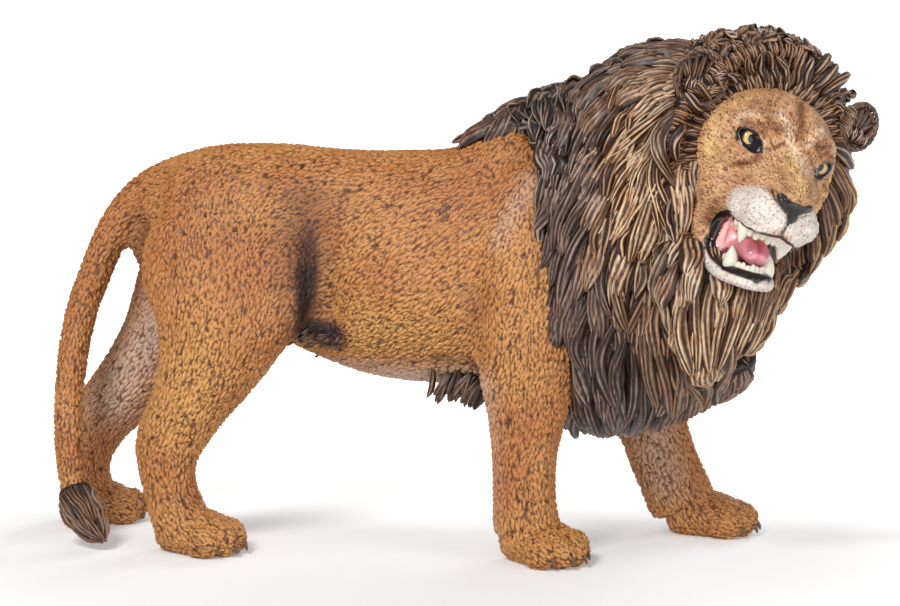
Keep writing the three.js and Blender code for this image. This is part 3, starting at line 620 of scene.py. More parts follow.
def strokes(co, normals, way_at, spacing, length, width, rng):
    """For each vertex, how far it is from the middle of its own fur stroke, from 0 to 1 at the gap,
    how far along it, and how side-on the gap is."""
    cell = np.floor((co - co.min(0)) / spacing).astype(np.int64) + 2
    size = cell.max(0) + 3
    flat = (cell[:, 0] * size[1] + cell[:, 1]) * size[2] + cell[:, 2]
    order = rng.permutation(len(co))
    cells, first = np.unique(flat[order], return_index=True)
    chosen = order[first]
    lookup = np.full(size.prod(), -1, np.int64)
    lookup[cells] = np.arange(len(cells))
    centre, out = co[chosen], normals[chosen]
    way = way_at(centre)
    way = way + rng.normal(0.0, STROKE_WANDER, way.shape)
    way = unit(way - out * dot(way, out)[:, None])
    side = np.cross(out, way)
    near = np.full((2, len(co)), 1e9)
    own = np.zeros((2, len(co)), np.int64)
    reach = (-2, -1, 0, 1, 2)
    for jump in [(i * size[1] + j) * size[2] + k for i in reach for j in reach for k in reach]:
        found = lookup[flat + jump]
        at = np.nonzero(found >= 0)[0]
        stroke = found[at]
        gap = co[at] - centre[stroke]
        away = (dot(gap, way[stroke]) / length) ** 2 + (dot(gap, side[stroke]) / width) ** 2
        away = np.sqrt(away + (dot(gap, out[stroke]) / width) ** 2 * 0.5)
        first_wins = away < near[0, at]
        second_wins = ~first_wins & (away < near[1, at])
        a = at[first_wins]
        near[1, a], own[1, a] = near[0, a], own[0, a]
        near[0, a], own[0, a] = away[first_wins], stroke[first_wins]
        b = at[second_wins]
        near[1, b], own[1, b] = away[second_wins], stroke[second_wins]
    share = 2.0 * near[0] / np.maximum(near[0] + near[1], 1e-9)
    between = centre[own[1]] - centre[own[0]]
    along = np.abs(dot(between, way[own[0]]))
    across = np.abs(dot(between, side[own[0]]))
    side_on = across / np.maximum(along + across, 1e-6)
    ahead = dot(co - centre[own[0]], way[own[0]]) / length
    luck = rng.random(len(cells))
    return share, side_on, ahead, luck[own[0]]


def furred(mesh, way_at, depth, spacing, length, width, rng):
    """Presses the fur into a skin, and gives its relief, from 0 in a gap to 1 on a stroke."""
    co, normals = coords(mesh), normals_of(mesh)
    share, side_on, ahead, luck = strokes(co, normals, way_at, spacing, length, width, rng)
    gap = share ** 4 * (0.45 + 0.55 * side_on) * (0.75 + 0.5 * luck)
    dome = 1.0 - share ** 2
    lift = 0.3 * np.clip(ahead, -1.0, 1.0) * dome
    height = depth * (0.75 * dome - 0.55 * gap + lift - 0.35)
    set_coords(mesh, co + normals * height[:, None])
    return np.clip(1.0 - gap, 0.0, 1.0)


def coat_masks(co):
    x, _, z = co.T

    def smear(start, end, radius, amount):
        return amount * np.exp(-((segment_distance(co, start, end) / radius) ** 2))
    # Painted shade: this mask darkens, down to near black, the flank hollow and the fold to the knee, the
    # belly folds ahead of the thighs, the elbow creases, the belly behind the near elbow, a line down the
    # near foreleg, under the tail root, and broadly the near flank and haunch.
    hollow = np.maximum.reduce([
        smear((-20.9, -13.0, 54.0), (-21.4, -11.5, 36.0), 3.4, 1.15),
        smear((-21.2, -12.5, 46.0), (-21.4, -11.5, 36.0), 2.9, 1.7),
        smear((-21.6, -12.5, 58.0), (-22.0, -12.0, 38.0), 6.0, 0.7),
        smear((-27.0, -11.0, 60.0), (-14.0, -12.5, 58.0), 6.0, 0.32),
        smear((-38.0, -13.0, 60.0), (-34.0, -14.0, 52.0), 6.0, 0.25),
        smear((-26.0, -8.5, 37.5), (-18.5, -8.5, 35.3), 2.7, 1.7),
        smear((-26.0, 8.5, 37.5), (-18.5, 8.5, 35.3), 2.7, 1.7),
        smear((-1.0, -11.0, 31.5), (6.0, -11.5, 30.5), 2.0, 1.3),
        smear((-25.8, 12.5, 52.0), (-27.5, 11.5, 36.0), 4.6, 0.7),
        smear((4.6, -15.5, 44.0), (5.0, -15.5, 31.0), 2.6, 0.7),
        smear((9.0, 15.5, 46.0), (11.0, 15.5, 31.0), 2.6, 0.7),
        smear((-47.0, 0.0, 52.0), (-48.5, 0.0, 46.0), 6.0, 0.9),
        smear((14.6, -16.5, 26.0), (14.4, -16.5, 10.0), 0.8, 0.35),
    ])
    # Paler paint under the belly and inside the near hind leg. On the far legs the paler paint is painted
    # light that lifts the shade they stand in, and on the near shoulder blade's ridge it is a painted
    # highlight.
    pale = np.maximum.reduce([
        step(33.0, 28.0, z) * step(-31.0, -24.0, x) * step(12.0, 4.0, x),
        smear((-46.0, 5.5, 42.0), (-58.0, 6.0, 22.0), 4.6, 1.0),
        smear((31.0, 5.5, 26.0), (34.0, 5.0, 10.0), 4.6, 0.9),
        smear((15.0, -13.0, 63.0), (9.5, -15.0, 52.0), 1.8, 0.5),
        smear((-46.0, -6.0, 30.0), (-48.0, -7.0, 22.0), 3.0, 0.6),
    ])
    golden = np.maximum.reduce([
        smear((-38.0, -15.0, 34.0), (-43.0, -15.0, 24.0), 6.0, 0.9),
        smear((-13.0, -13.0, 37.0), (1.0, -15.0, 34.0), 5.5, 1.0),
        smear((-12.0, 13.0, 37.0), (2.0, 15.0, 34.0), 5.5, 1.0),
        step(9.0, 5.0, z) * 0.3,
        smear((14.0, -16.0, 48.0), (13.0, -16.5, 30.0), 4.5, 0.6),
    ])
    return hollow, pale, golden


def make_coat():
    rng = np.random.default_rng(11)
    skin = coat_clay()
    guides = coat_guides()
    relief = furred(skin, lambda points: way_of_hair(points, guides), *BODY_FUR, rng)
    attribute(skin, "relief", relief)
    for name, values in zip(("hollow", "pale", "golden"), coat_masks(coords(skin))):
        attribute(skin, name, values)
    return skin


def coat_paint():
    paint = Paint("coat_paint", Roughness=0.5)
    relief, hollow, pale = paint.mask("relief"), paint.mask("hollow"), paint.mask("pale")
    tan = paint.mix(paint.between(paint.noise(9.0), 0.35, 0.7), srgb(190, 122, 64), srgb(206, 144, 82))
    tan = paint.mix(paint.mask("golden") * 0.8, tan, srgb(218, 162, 88))
    # Paler where the pale mask is: partly paler paint, partly painted light on the far legs and the shoulder
    # blade's ridge.
    tan = paint.mix(pale * 0.9, tan, srgb(216, 184, 162))
    # Painted shade: the hollow mask darkens the tan to dark brown and, deepest, to near black, and the groove
    # brown darkens with it.
    tan = paint.mix(paint.between(hollow + (paint.noise(3.0) - 0.5) * 0.3, 0.1, 1.1), tan, srgb(92, 46, 24))
    tan = paint.mix(paint.between(hollow + (paint.noise(1.2) - 0.5) * 0.4, 0.7, 1.5), tan, srgb(44, 24, 18))
    brown = paint.mix(hollow, srgb(84, 40, 12), srgb(42, 20, 14))
    brown = paint.mix(pale * 0.7, brown, srgb(112, 76, 62))
    # Darker brown in the fur's grooves, lighter on the strokes: partly the brown wash of the paint, partly
    # painted shade.
    wash_and_shade = paint.between(relief + (paint.noise(0.7) - 0.5) * 0.16, 0.34, 0.98)
    paint.feed("Base Color", paint.mix(wash_and_shade, brown, tan))
    return paint.material


# Dark hair behind the elbows and in the fold ahead of the thighs, on both sides:
# (where, which way, how long, how many, how wide)
BELLY_TUFTS = [
    ((3.4, 10.5, 31.0), (-0.45, 0.1, -1.0), 4.4, 34, 1.1),
    ((-22.0, 9.0, 38.5), (-1.0, 0.0, -0.35), 1.5, 60, 0.55),
]


def make_belly_hair(tree, paint):
    rng = np.random.default_rng(61)
    locks = Locks(9, 19, 62)
    for (x, y, z), way, length, count, width in BELLY_TUFTS:
        for side in (-1, 1):
            for _ in range(count):
                start = np.array((x + rng.normal(0.0, 3.0), side * (y - abs(rng.normal(0.0, 3.0))), z - 3.0))
                near, out = nearest(tree, start)
                way_here = unit(np.array(way) + (rng.normal(0.0, 0.15), side * 0.15, rng.normal(0.0, 0.15)))
                run = [near + way_here * length * s + out * (0.5 * s - 0.3) for s in (0.0, 0.33, 0.66, 1.0)]
                wide = width * rng.uniform(0.8, 1.3)
                locks.add(np.array(run), np.repeat(out[None], 4, 0), wide, 0.6 * width, (0.3, 0.04))
    finished("belly_hair", locks.mesh(tip_lift=0.3, groove=0.4), ["body_right", "body_left"], paint)


def make_claws():
    paint = Paint("claw_paint", Roughness=0.35)
    paint.feed("Base Color", paint.mix(paint.noise(0.6), srgb(70, 50, 38), srgb(128, 98, 78)))
    forms = []
    for paw in PAWS:
        for x, y in TOES:
            claw = tube([(x + out, y, z, r, r * 0.8) for out, z, r in CLAW], 8, 10, across=LEFT)
            bmesh.ops.transform(claw, matrix=paw_matrix(paw), verts=claw.verts)
            forms.append(claw)
    finished("claws", joined(forms), ["body_right", "body_left"], paint.material)


def split_coat(skin):
    right, left = (half_of(skin, ((0, 0, 0), (0, 1, 0)), side) for side in (-1, 1))
    material = coat_paint()
    for name, half, node in (("coat_right", right, "body_right"), ("coat_left", left, "body_left")):
        for end, side, nodes in (("hind", -1, [node, "tail"]), ("fore", 1, [node])):
            mesh = half_of(half, ((-10.0, 0, 0), (1, 0, 0)), side)
            finished(f"{name}_{end}", mesh, nodes, material)


# Head axes: zero between the eyes, +X out of the nose, +Y to its left

HEAD = (
    Matrix.Translation((54.4, -20.0, 67.3))
    @ Matrix.Rotation(math.radians(-69.0), 4, "Z")
    @ Matrix.Rotation(math.radians(-1.3), 4, "Y")
    @ Matrix.Rotation(math.radians(-22.5), 4, "X")
)
HEAD_MATRIX = np.array(HEAD)


def out_of_head(points):
    return np.asarray(points, float) @ HEAD_MATRIX[:3, :3].T + HEAD_MATRIX[:3, 3]


def into_head(points):
    return (np.asarray(points, float) - HEAD_MATRIX[:3, 3]) @ HEAD_MATRIX[:3, :3]


def headed(bm):
    bmesh.ops.transform(bm, matrix=HEAD, verts=bm.verts)
    return bm

def head_piece(name, mesh, node_names, material):
    """A finished piece that was sculpted in the head's own axes."""
    set_coords(mesh, out_of_head(coords(mesh)))
    finished(name, mesh, node_names, material)


# Mane: smooth cores under locks of hair

COLLAR_CORE = [
    (15.5, 0.0, 47.0, 22.0, 13.5),
    (18.0, 0.0, 46.8, 26.6, 16.0),
    (24.0, -0.3, 47.7, 28.4, 18.4),
    (30.0, -0.8, 50.0, 28.6, 19.4),
    (34.0, -1.6, 53.0, 26.2, 19.0),
    (42.0, -4.0, 56.5, 20.5, 16.6),
    (49.0, -6.5, 58.8, 14.0, 12.5),
    (54.0, -8.0, 59.5, 9.0, 8.5),
    (57.0, -8.5, 59.5, 4.0, 4.0),
]
CREST_CORE = [
    (0.5, 0.0, 65.2, 0.7, 1.0),
    (4.0, 0.0, 65.4, 2.2, 2.6),
    (8.0, 0.0, 66.4, 3.6, 4.0),
    (14.0, 0.0, 68.4, 5.5, 5.8),
    (20.0, -0.5, 68.8, 7.2, 9.5),
    (27.0, -1.5, 68.6, 10.4, 14.4),
    (34.0, -3.0, 69.8, 12.2, 14.8),
    (41.0, -5.0, 71.4, 11.2, 12.6),
    (46.0, -7.0, 72.5, 6.0, 7.0),
]
RUFF_CORE = [
    (-31.0, -2.5, -1.0, 5.0, 5.0),
    (-29.0, -2.5, -1.5, 12.0, 11.5),
    (-24.0, -2.0, -2.0, 18.7, 17.2),
    (-17.0, -1.6, -2.7, 20.8, 17.8),
    (-12.0, -0.6, -2.7, 20.9, 17.2),
    (-9.0, 0.0, -3.0, 18.0, 15.6),
    (-7.0, 0.0, -3.0, 15.0, 12.6),
]
BEARD_CORE = [
    (-9.0, 0.0, -17.1, 3.0, 10.0),
    (-5.0, 0.0, -22.1, 5.5, 10.6),
    (-4.0, 0.8, -27.1, 5.2, 9.0),
    (-3.5, 1.2, -32.0, 3.8, 5.8),
    (-3.0, 1.6, -36.0, 1.9, 2.5),
    (-3.0, 1.8, -37.7, 0.7, 1.0),
]
HAIR_OVER_CORE = -0.7


def collar_core():
    return joined([
        tube(COLLAR_CORE, 40, 48, grow=HAIR_OVER_CORE),
        tube(CREST_CORE, 40, 32, grow=HAIR_OVER_CORE),
    ])


def ruff_core():
    return joined([
        headed(tube(RUFF_CORE, 30, 48, grow=HAIR_OVER_CORE)),
        headed(tube(BEARD_CORE, 30, 32, grow=HAIR_OVER_CORE)),
    ])


def tree_of(*meshes):
    whole = bmesh.new()
    for mesh in meshes:
        whole.from_mesh(mesh)
    tree = BVHTree.FromBMesh(whole)
    whole.free()
    return tree

def nearest(tree, point):
    """The place on a surface nearest to a point, and the way out there."""
    place, out, _, _ = tree.find_nearest(Vector(point))
    return np.array(place), np.array(out)


class Sight:
    """The photograph's line of sight, for laying a lock on what carries it."""
    back = LENS_BACK
    right = np.array((math.cos(LENS_TURN), math.sin(LENS_TURN), 0.0))
    up = np.cross(back, right)
    eye = LOOKED_AT + back * LENS_AWAY

    @classmethod
    def ray(cls, u, v):
        across, up = cls.right * (u - MIDDLE_U) / LENS_PIXELS, cls.up * (MIDDLE_V - v) / LENS_PIXELS
        return unit(across + up - cls.back)

    @classmethod
    def laid(cls, u, v, tree):
        """The point and outward way of a surface in the line of sight, or beside it where it misses."""
        way = cls.ray(u, v)
        place, out, _, _ = tree.ray_cast(Vector(cls.eye), Vector(way))
        if place is not None:
            out = np.array(out)
            return np.array(place), out if out @ way < 0 else -out
        best = None
        for far in np.arange(LENS_AWAY - 70.0, LENS_AWAY + 70.0, 2.0):
            here = cls.eye + way * far
            _, out, _, gap = tree.find_nearest(Vector(here))
            if best is None or gap < best[0]:
                best = (gap, here, np.array(out))
        return best[1], best[2]


# Hair kinds: how golden and how pale the paint is, from 0 to 1; paler kinds also take a stronger painted
# highlight on their crests
KINDS = {
    "soot": (0.1, 0.0),
    "smoke": (0.1, 0.35),
    "ash": (0.05, 0.95),
    "umber": (0.5, 0.3),
    "gold": (1.0, 0.75),
    "honey": (0.95, 1.0),
    "taupe": (0.4, 0.9),
    "beard": (0.85, 1.0),
    "rust": (1.0, 0.5),
    "curl": (0.55, 0.5),
}
# Locks on the side towards the camera: (kind, width, points), in the photograph's pixels
COLLAR_LOCKS = [
    ("ash", 10, [(563, 127), (556, 136), (551, 149)]),
    ("ash", 10, [(560, 146), (555, 156), (551, 168)]),
    ("ash", 8, [(566, 128), (569, 140), (567, 152)]),
    ("smoke", 9, [(560, 168), (557, 185), (552, 205)]),
    ("smoke", 8, [(562, 170), (560, 195), (556, 222), (553, 250)]),
    ("smoke", 12, [(604, 108), (590, 130), (578, 155), (571, 180)]),
    ("smoke", 10, [(612, 115), (598, 135), (586, 158), (576, 178)]),
    ("smoke", 14, [(598, 150), (586, 172), (574, 198), (566, 228)]),
    ("smoke", 15, [(588, 170), (574, 195), (564, 222), (557, 254)]),
    ("smoke", 14, [(600, 172), (590, 195), (577, 220), (568, 245)]),
    ("smoke", 14, [(600, 198), (590, 222), (578, 248), (566, 280), (562, 317)]),
    ("smoke", 12, [(590, 235), (577, 262), (567, 290), (561, 312)]),
    ("soot", 10, [(628, 66), (606, 80), (584, 96)]),
    ("smoke", 10, [(636, 72), (612, 90), (594, 112), (587, 132)]),
    ("smoke", 9, [(620, 76), (600, 92), (586, 108), (583, 124)]),
    ("soot", 12, [(628, 96), (618, 112), (606, 130), (600, 146)]),
    ("soot", 10, [(578, 100), (574, 112), (580, 126)]),
    ("soot", 10, [(584, 122), (574, 134), (566, 160)]),
    ("smoke", 8, [(595, 122), (582, 140), (571, 158)]),
    ("smoke", 12, [(546, 95), (537, 101), (534, 115)]),
    ("smoke", 11, [(556, 86), (553, 102), (560, 124)]),
    ("smoke", 11, [(566, 88), (567, 105), (569, 122)]),
    ("smoke", 12, [(575, 86), (560, 88), (548, 94)]),
    ("smoke", 12, [(592, 87), (578, 88), (566, 95)]),
    ("smoke", 13, [(618, 75), (606, 75), (594, 83)]),
    ("smoke", 11, [(628, 69), (620, 69), (614, 75)]),
    ("smoke", 12, [(652, 57), (640, 58), (626, 63)]),
    ("smoke", 11, [(668, 50), (658, 50), (648, 54)]),
    ("smoke", 10, [(540, 106), (524, 110), (512, 114)]),
    ("smoke", 10, [(524, 110), (510, 116), (498, 126)]),
    ("smoke", 10, [(510, 116), (496, 124), (484, 136)]),
    ("smoke", 9, [(498, 124), (482, 135), (464, 148)]),
    ("smoke", 9, [(490, 131), (474, 142), (458, 153)]),
    ("smoke", 9, [(530, 104), (526, 114), (534, 124)]),
    ("smoke", 9, [(537, 102), (539, 116), (545, 131)]),
    ("ash", 8, [(545, 104), (546, 120), (550, 136)]),
    ("smoke", 8, [(528, 110), (533, 120), (543, 130)]),
    ("smoke", 8, [(549, 168), (544, 188), (542, 208)]),
    ("smoke", 8, [(552, 148), (546, 164), (544, 184)]),
    ("smoke", 8, [(554, 196), (547, 214), (545, 236)]),
    ("umber", 7, [(484, 133), (470, 140), (454, 147)]),
    ("umber", 7, [(497, 129), (481, 137), (464, 144)]),
    ("umber", 7, [(511, 123), (497, 130), (480, 138)]),
    ("smoke", 7, [(525, 120), (512, 126), (498, 131)]),
    ("smoke", 11, [(549, 100), (552, 116), (549, 134)]),
    ("ash", 10, [(540, 112), (537, 127), (538, 141)]),
    ("smoke", 9, [(546, 122), (543, 134), (541, 146)]),
    ("smoke", 9, [(516, 108), (516, 118), (524, 126)]),
    ("smoke", 9, [(502, 114), (500, 122), (508, 129)]),
    ("smoke", 10, [(600, 256), (598, 278), (604, 300), (614, 317)]),
    ("smoke", 9, [(608, 258), (604, 280), (608, 302), (614, 316)]),
    ("umber", 14, [(622, 258), (617, 282), (621, 308), (629, 330)]),
    ("umber", 9, [(636, 262), (629, 278), (626, 292)]),
    ("umber", 12, [(650, 285), (641, 302), (633, 318), (630, 330)]),
    ("umber", 10, [(645, 262), (641, 280), (636, 298)]),
    ("smoke", 16, [(592, 296), (582, 322), (578, 345), (586, 368)]),
    ("smoke", 14, [(602, 298), (598, 325), (595, 350), (594, 372)]),
    ("smoke", 16, [(614, 322), (604, 345), (603, 372), (615, 400)]),
    ("smoke", 16, [(626, 334), (617, 358), (616, 380), (618, 400)]),
    ("umber", 15, [(640, 318), (645, 345), (650, 375), (656, 400)]),
    ("umber", 14, [(656, 330), (660, 358), (665, 385), (669, 409)]),
    ("umber", 13, [(672, 345), (677, 370), (676, 392), (670, 410)]),
    ("smoke", 13, [(632, 345), (635, 370), (634, 395), (626, 416)]),
    ("smoke", 12, [(642, 372), (644, 392), (640, 412), (628, 426)]),
    ("smoke", 11, [(574, 362), (580, 382), (591, 403)]),
    ("smoke", 11, [(600, 370), (601, 392), (606, 416)]),
    ("smoke", 12, [(588, 392), (590, 408), (600, 428)]),
    ("smoke", 12, [(580, 398), (574, 412), (578, 430)]),
    ("smoke", 11, [(604, 400), (608, 414), (612, 427)]),
    ("smoke", 11, [(656, 396), (648, 410), (636, 422)]),
    ("umber", 12, [(690, 365), (694, 385), (698, 405)]),
    ("umber", 11, [(706, 372), (704, 390), (698, 404)]),
    ("smoke", 10, [(716, 370), (714, 385), (710, 398)]),
    ("umber", 13, [(731, 337), (726, 357), (713, 382)]),
    ("umber", 12, [(743, 332), (737, 355), (723, 377)]),
    ("umber", 9, [(662, 298), (664, 320), (675, 342)]),
]
RUFF_LOCKS = [
    ("umber", 12, [(612, 195), (603, 215), (597, 238), (599, 259)]),
    ("umber", 11, [(614, 210), (609, 232), (606, 257)]),
    ("umber", 9, [(614, 160), (606, 178), (604, 199)]),
    ("umber", 10, [(622, 158), (612, 178), (608, 199)]),
    ("umber", 13, [(658, 84), (642, 88), (626, 95)]),
    ("umber", 10, [(640, 78), (624, 88), (615, 104), (611, 122)]),
    ("gold", 10, [(630, 112), (620, 122), (615, 138)]),
    ("gold", 9, [(645, 110), (634, 118), (629, 131)]),
    ("gold", 9, [(676, 106), (656, 118), (636, 132), (614, 148)]),
    ("gold", 9, [(668, 116), (650, 128), (630, 142), (610, 160)]),
    ("gold", 8, [(676, 112), (662, 126), (646, 142), (632, 160)]),
    ("honey", 9, [(672, 122), (658, 140), (644, 160), (634, 182), (628, 208)]),
    ("gold", 9, [(640, 150), (626, 162), (614, 178)]),
    ("gold", 10, [(655, 142), (638, 160), (622, 182), (612, 204)]),
    ("honey", 9, [(660, 150), (648, 170), (638, 192), (628, 216)]),
    ("gold", 9, [(636, 178), (622, 196), (614, 214)]),
    ("gold", 10, [(632, 206), (620, 216), (615, 233)]),
    ("honey", 10, [(652, 180), (644, 200), (634, 218), (626, 230)]),
    ("honey", 16, [(652, 190), (646, 215), (636, 240), (628, 262)]),
    ("gold", 11, [(636, 226), (624, 240), (622, 258)]),
    ("gold", 9, [(658, 225), (648, 240), (636, 255)]),
    ("honey", 8, [(656, 150), (653, 175), (655, 205), (660, 236)]),
    ("honey", 8, [(660, 158), (658, 180), (662, 196), (668, 207)]),
    ("honey", 7, [(654, 170), (655, 195), (661, 214), (666, 230)]),
    ("taupe", 15, [(676, 114), (665, 132), (663, 152), (671, 186)]),
    ("taupe", 10, [(682, 122), (673, 140), (672, 160)]),
    ("taupe", 10, [(672, 192), (668, 212), (670, 230), (676, 248)]),
    ("taupe", 10, [(662, 225), (661, 245), (664, 262)]),
    ("taupe", 14, [(672, 250), (664, 272), (656, 297)]),
    ("honey", 9, [(652, 255), (650, 275), (652, 292)]),
    ("beard", 14, [(684, 286), (682, 315), (687, 345), (695, 373)]),
    ("beard", 12, [(696, 284), (696, 315), (700, 345), (698, 370)]),
    ("beard", 14, [(710, 284), (706, 312), (704, 345), (707, 375)]),
    ("beard", 12, [(722, 290), (720, 315), (712, 345), (706, 372)]),
    ("beard", 12, [(735, 292), (735, 315), (726, 340), (714, 366)]),
    ("beard", 11, [(747, 292), (748, 315), (738, 338), (724, 360)]),
    ("beard", 10, [(757, 288), (758, 312), (750, 335), (738, 350)]),
    ("beard", 10, [(768, 280), (768, 305), (764, 325), (752, 340)]),
    ("rust", 11, [(772, 260), (770, 283), (762, 303), (754, 328)]),
    ("rust", 11, [(785, 253), (780, 276), (770, 298), (760, 323)]),
    ("rust", 11, [(796, 246), (792, 266), (782, 288), (772, 308)]),
    ("rust", 11, [(808, 233), (805, 253), (798, 270), (788, 288)]),
    ("rust", 11, [(816, 213), (816, 233), (810, 253), (802, 270)]),
    ("rust", 11, [(823, 193), (828, 213), (825, 233), (816, 253)]),
    ("rust", 11, [(828, 176), (836, 198), (836, 220), (828, 238)]),
    ("rust", 11, [(828, 156), (838, 173), (844, 193), (840, 213)]),
    ("taupe", 11, [(828, 143), (838, 153), (844, 168)]),
    ("curl", 10, [(830, 100), (840, 94), (851, 88)]),
    ("curl", 10, [(820, 95), (832, 84), (842, 76)]),
    ("curl", 10, [(812, 90), (822, 78), (832, 68)]),
    ("taupe", 9, [(803, 90), (805, 74), (808, 58)]),
    ("curl", 9, [(795, 86), (797, 70), (800, 52)]),
    ("curl", 10, [(812, 75), (818, 66), (822, 60)]),
    ("taupe", 9, [(788, 86), (782, 70), (772, 54)]),
    ("taupe", 9, [(776, 82), (770, 66), (762, 52)]),
    ("taupe", 9, [(764, 82), (758, 68), (758, 52)]),
    ("curl", 9, [(752, 78), (748, 66), (742, 56)]),
    ("taupe", 10, [(742, 84), (732, 76), (722, 72)]),
    ("taupe", 8, [(728, 90), (718, 84), (710, 80)]),
    ("curl", 8, [(708, 98), (702, 92), (699, 86)]),
    ("taupe", 9, [(700, 112), (692, 104), (688, 96)]),
]
# Millimetres to a pixel of the photograph
PIXEL = 1.0 / 6.1


class Locks:
    """Locks of hair gathered for one piece: each is a run of points with the way out at each."""

    def __init__(self, rings, sides, seed):
        self.rings, self.sides = rings, sides
        self.rng = np.random.default_rng(seed)
        self.paths, self.outs, self.widths, self.thicks, self.kinds, self.ridges = [], [], [], [], [], []

    def add(self, points, outs, width, thick, kind, ridges=None):
        run = smooth_run(np.hstack([points, outs]), self.rings - 1)
        self.paths.append(run[:, :3])
        self.outs.append(unit(run[:, 3:]))
        self.widths.append(width)
        self.thicks.append(thick)
        self.kinds.append(kind)
        self.ridges.append(ridges or max(2, round(width / 0.85 + self.rng.uniform(-0.7, 0.7))))

    def halves(self):
        """The same locks as two sets, one nearer the right side and one nearer the left."""
        sideways = np.array([path[:, 1].mean() for path in self.paths])
        right = sideways < np.median(sideways)
        for wanted in (right, ~right):
            half = Locks(self.rings, self.sides, self.rng.integers(1000))
            for name in ("paths", "outs", "widths", "thicks", "kinds", "ridges"):
                setattr(half, name, [getattr(self, name)[i] for i in np.flatnonzero(wanted)])
            yield half

    def mesh(self, tip_lift=0.75, groove=0.5):
        count = len(self.paths)
        template = unit_tube(self.rings, self.sides)
        unit_co = coords(template)
        ring = np.rint(unit_co[:, 0]).astype(int)
        around = np.arctan2(unit_co[:, 2], unit_co[:, 1]) / (2.0 * math.pi) % 1.0
        order = np.round(around * self.sides).astype(int) % self.sides
        top_count = int(self.sides * 0.72)
        top = order <= top_count
        under = -1.0 + 2.0 * (order - top_count) / (self.sides - top_count)
        q = np.where(top, 1.0 - 2.0 * order / top_count, under)
        s = ring / (self.rings - 1.0)
        paths, outs = np.array(self.paths), np.array(self.outs)
        ahead = unit(np.gradient(paths, axis=1))
        side = unit(np.cross(ahead, outs))
        out = unit(np.cross(side, ahead))
        swell = np.interp(s, (0, 0.2, 0.45, 0.65, 0.8, 0.92, 1.0), (0.62, 0.88, 1.0, 0.97, 0.8, 0.46, 0.1))
        lift = np.interp(s, (0, 0.25, 0.7, 1.0), (-0.5, 0.0, 0.45, tip_lift))
        width = np.array(self.widths)[:, None]
        thick = np.array(self.thicks)[:, None]
        ridges = np.array(self.ridges)[:, None]
        phase = self.rng.uniform(0.0, 1.0, (count, 1))
        sway = 0.28 * np.sin(2.0 * math.pi * (s * self.rng.uniform(0.6, 1.4, (count, 1)) + phase))
        troughs = np.abs(np.sin(math.pi * (q + sway * (1.0 - np.abs(q)) + 1.0) * ridges / 2.0))
        folds = (1.0 - troughs) ** 1.1
        shaded = np.where(self.rng.random((count, 1)) < 0.5, q > 0.72, q < -0.72)
        crown = np.where(top, np.maximum(1.0 - q ** 2, 0.0) ** 0.5, -0.45 * (1.0 - q ** 2))
        height = thick * (lift + crown * (0.45 + 0.55 * swell) * swell ** 0.5)
        height = height + np.where(top, groove * np.minimum(1.0, width / 1.6) * (folds - 0.35) * swell, 0.0)
        across = q * swell * width / 2.0
        co = paths[:, ring] + side[:, ring] * across[..., None] + out[:, ring] * height[..., None]
        whole = bmesh.new()
        for _ in range(count):
            whole.from_mesh(template)
        mesh = mesh_of(whole)
        set_coords(mesh, co.reshape(-1, 3))
        kinds = np.array([KINDS[k] if isinstance(k, str) else k for k in self.kinds])
        tone = self.rng.uniform(-1.0, 1.0, (count, 1))
        shape = (count, len(s))
        # The relief sets the hair paint's painted shade and highlight: the troughs, one side of each lock
        # picked at random and the whole underside are low and take painted shade, and the crests are high and
        # take the painted highlight.
        attribute(mesh, "relief", np.where(top, folds * (1.0 - 0.85 * shaded), 0.0).ravel())
        attribute(mesh, "gold", np.broadcast_to(kinds[:, :1], shape).ravel())
        attribute(mesh, "pale", np.clip(kinds[:, 1:] + 0.15 * tone + 0.1 * (s - 0.5), 0.0, 1.0).ravel())
        # Darker towards the root, where the lock goes under the others: painted shade.
        attribute(mesh, "sunk", np.broadcast_to(np.clip(1.0 - s * 2.2, 0.0, 1.0), shape).ravel())
        bpy.data.meshes.remove(template)
        return mesh


def seen_locks(table, tree, locks):
    """Lays the locks that the photograph shows on the surface in the line of sight."""
    for kind, width, points in table:
        laid = [Sight.laid(u, v, tree) for u, v in points]
        outs = unit(np.array([o for _, o in laid]) + Sight.back * 0.3)
        places = np.array([p for p, _ in laid]) + outs * 0.45
        wide = width * PIXEL * 1.2
        locks.add(places, outs, wide, 0.42 * wide + 0.35, kind)
    return locks


def scattered(mesh, spacing, rng, keep):
    """Points about evenly spaced over a mesh, with the way out at each."""
    mesh.calc_loop_triangles()
    co = coords(mesh)
    tris = np.empty(len(mesh.loop_triangles) * 3, np.int32)
    mesh.loop_triangles.foreach_get("vertices", tris)
    a, b, c = (co[tris.reshape(-1, 3)[:, i]] for i in range(3))
    normal = np.cross(b - a, c - a)
    area = np.linalg.norm(normal, axis=1) / 2.0
    count = int(area.sum() / spacing ** 2 * 8)
    chosen = rng.choice(len(area), count, p=area / area.sum())
    r1, r2 = np.sqrt(rng.random((count, 1))), rng.random((count, 1))
    points = a[chosen] * (1 - r1) + b[chosen] * r1 * (1 - r2) + c[chosen] * r1 * r2
    outs = unit(normal[chosen])
    wanted = keep(points, outs)
    points, outs = points[wanted], outs[wanted]
    beside = (-1, 0, 1)
    around = [np.array((x, y, z)) for x in beside for y in beside for z in beside]
    grid, kept = {}, []
    for i, p in enumerate(points):
        cell = np.floor(p / spacing).astype(int)
        near = [j for jump in around for j in grid.get(tuple(cell + jump), ())]
        if all(np.sum((points[j] - p) ** 2) > spacing ** 2 for j in near):
            grid.setdefault(tuple(cell), []).append(i)
            kept.append(i)
    return points[kept], outs[kept]


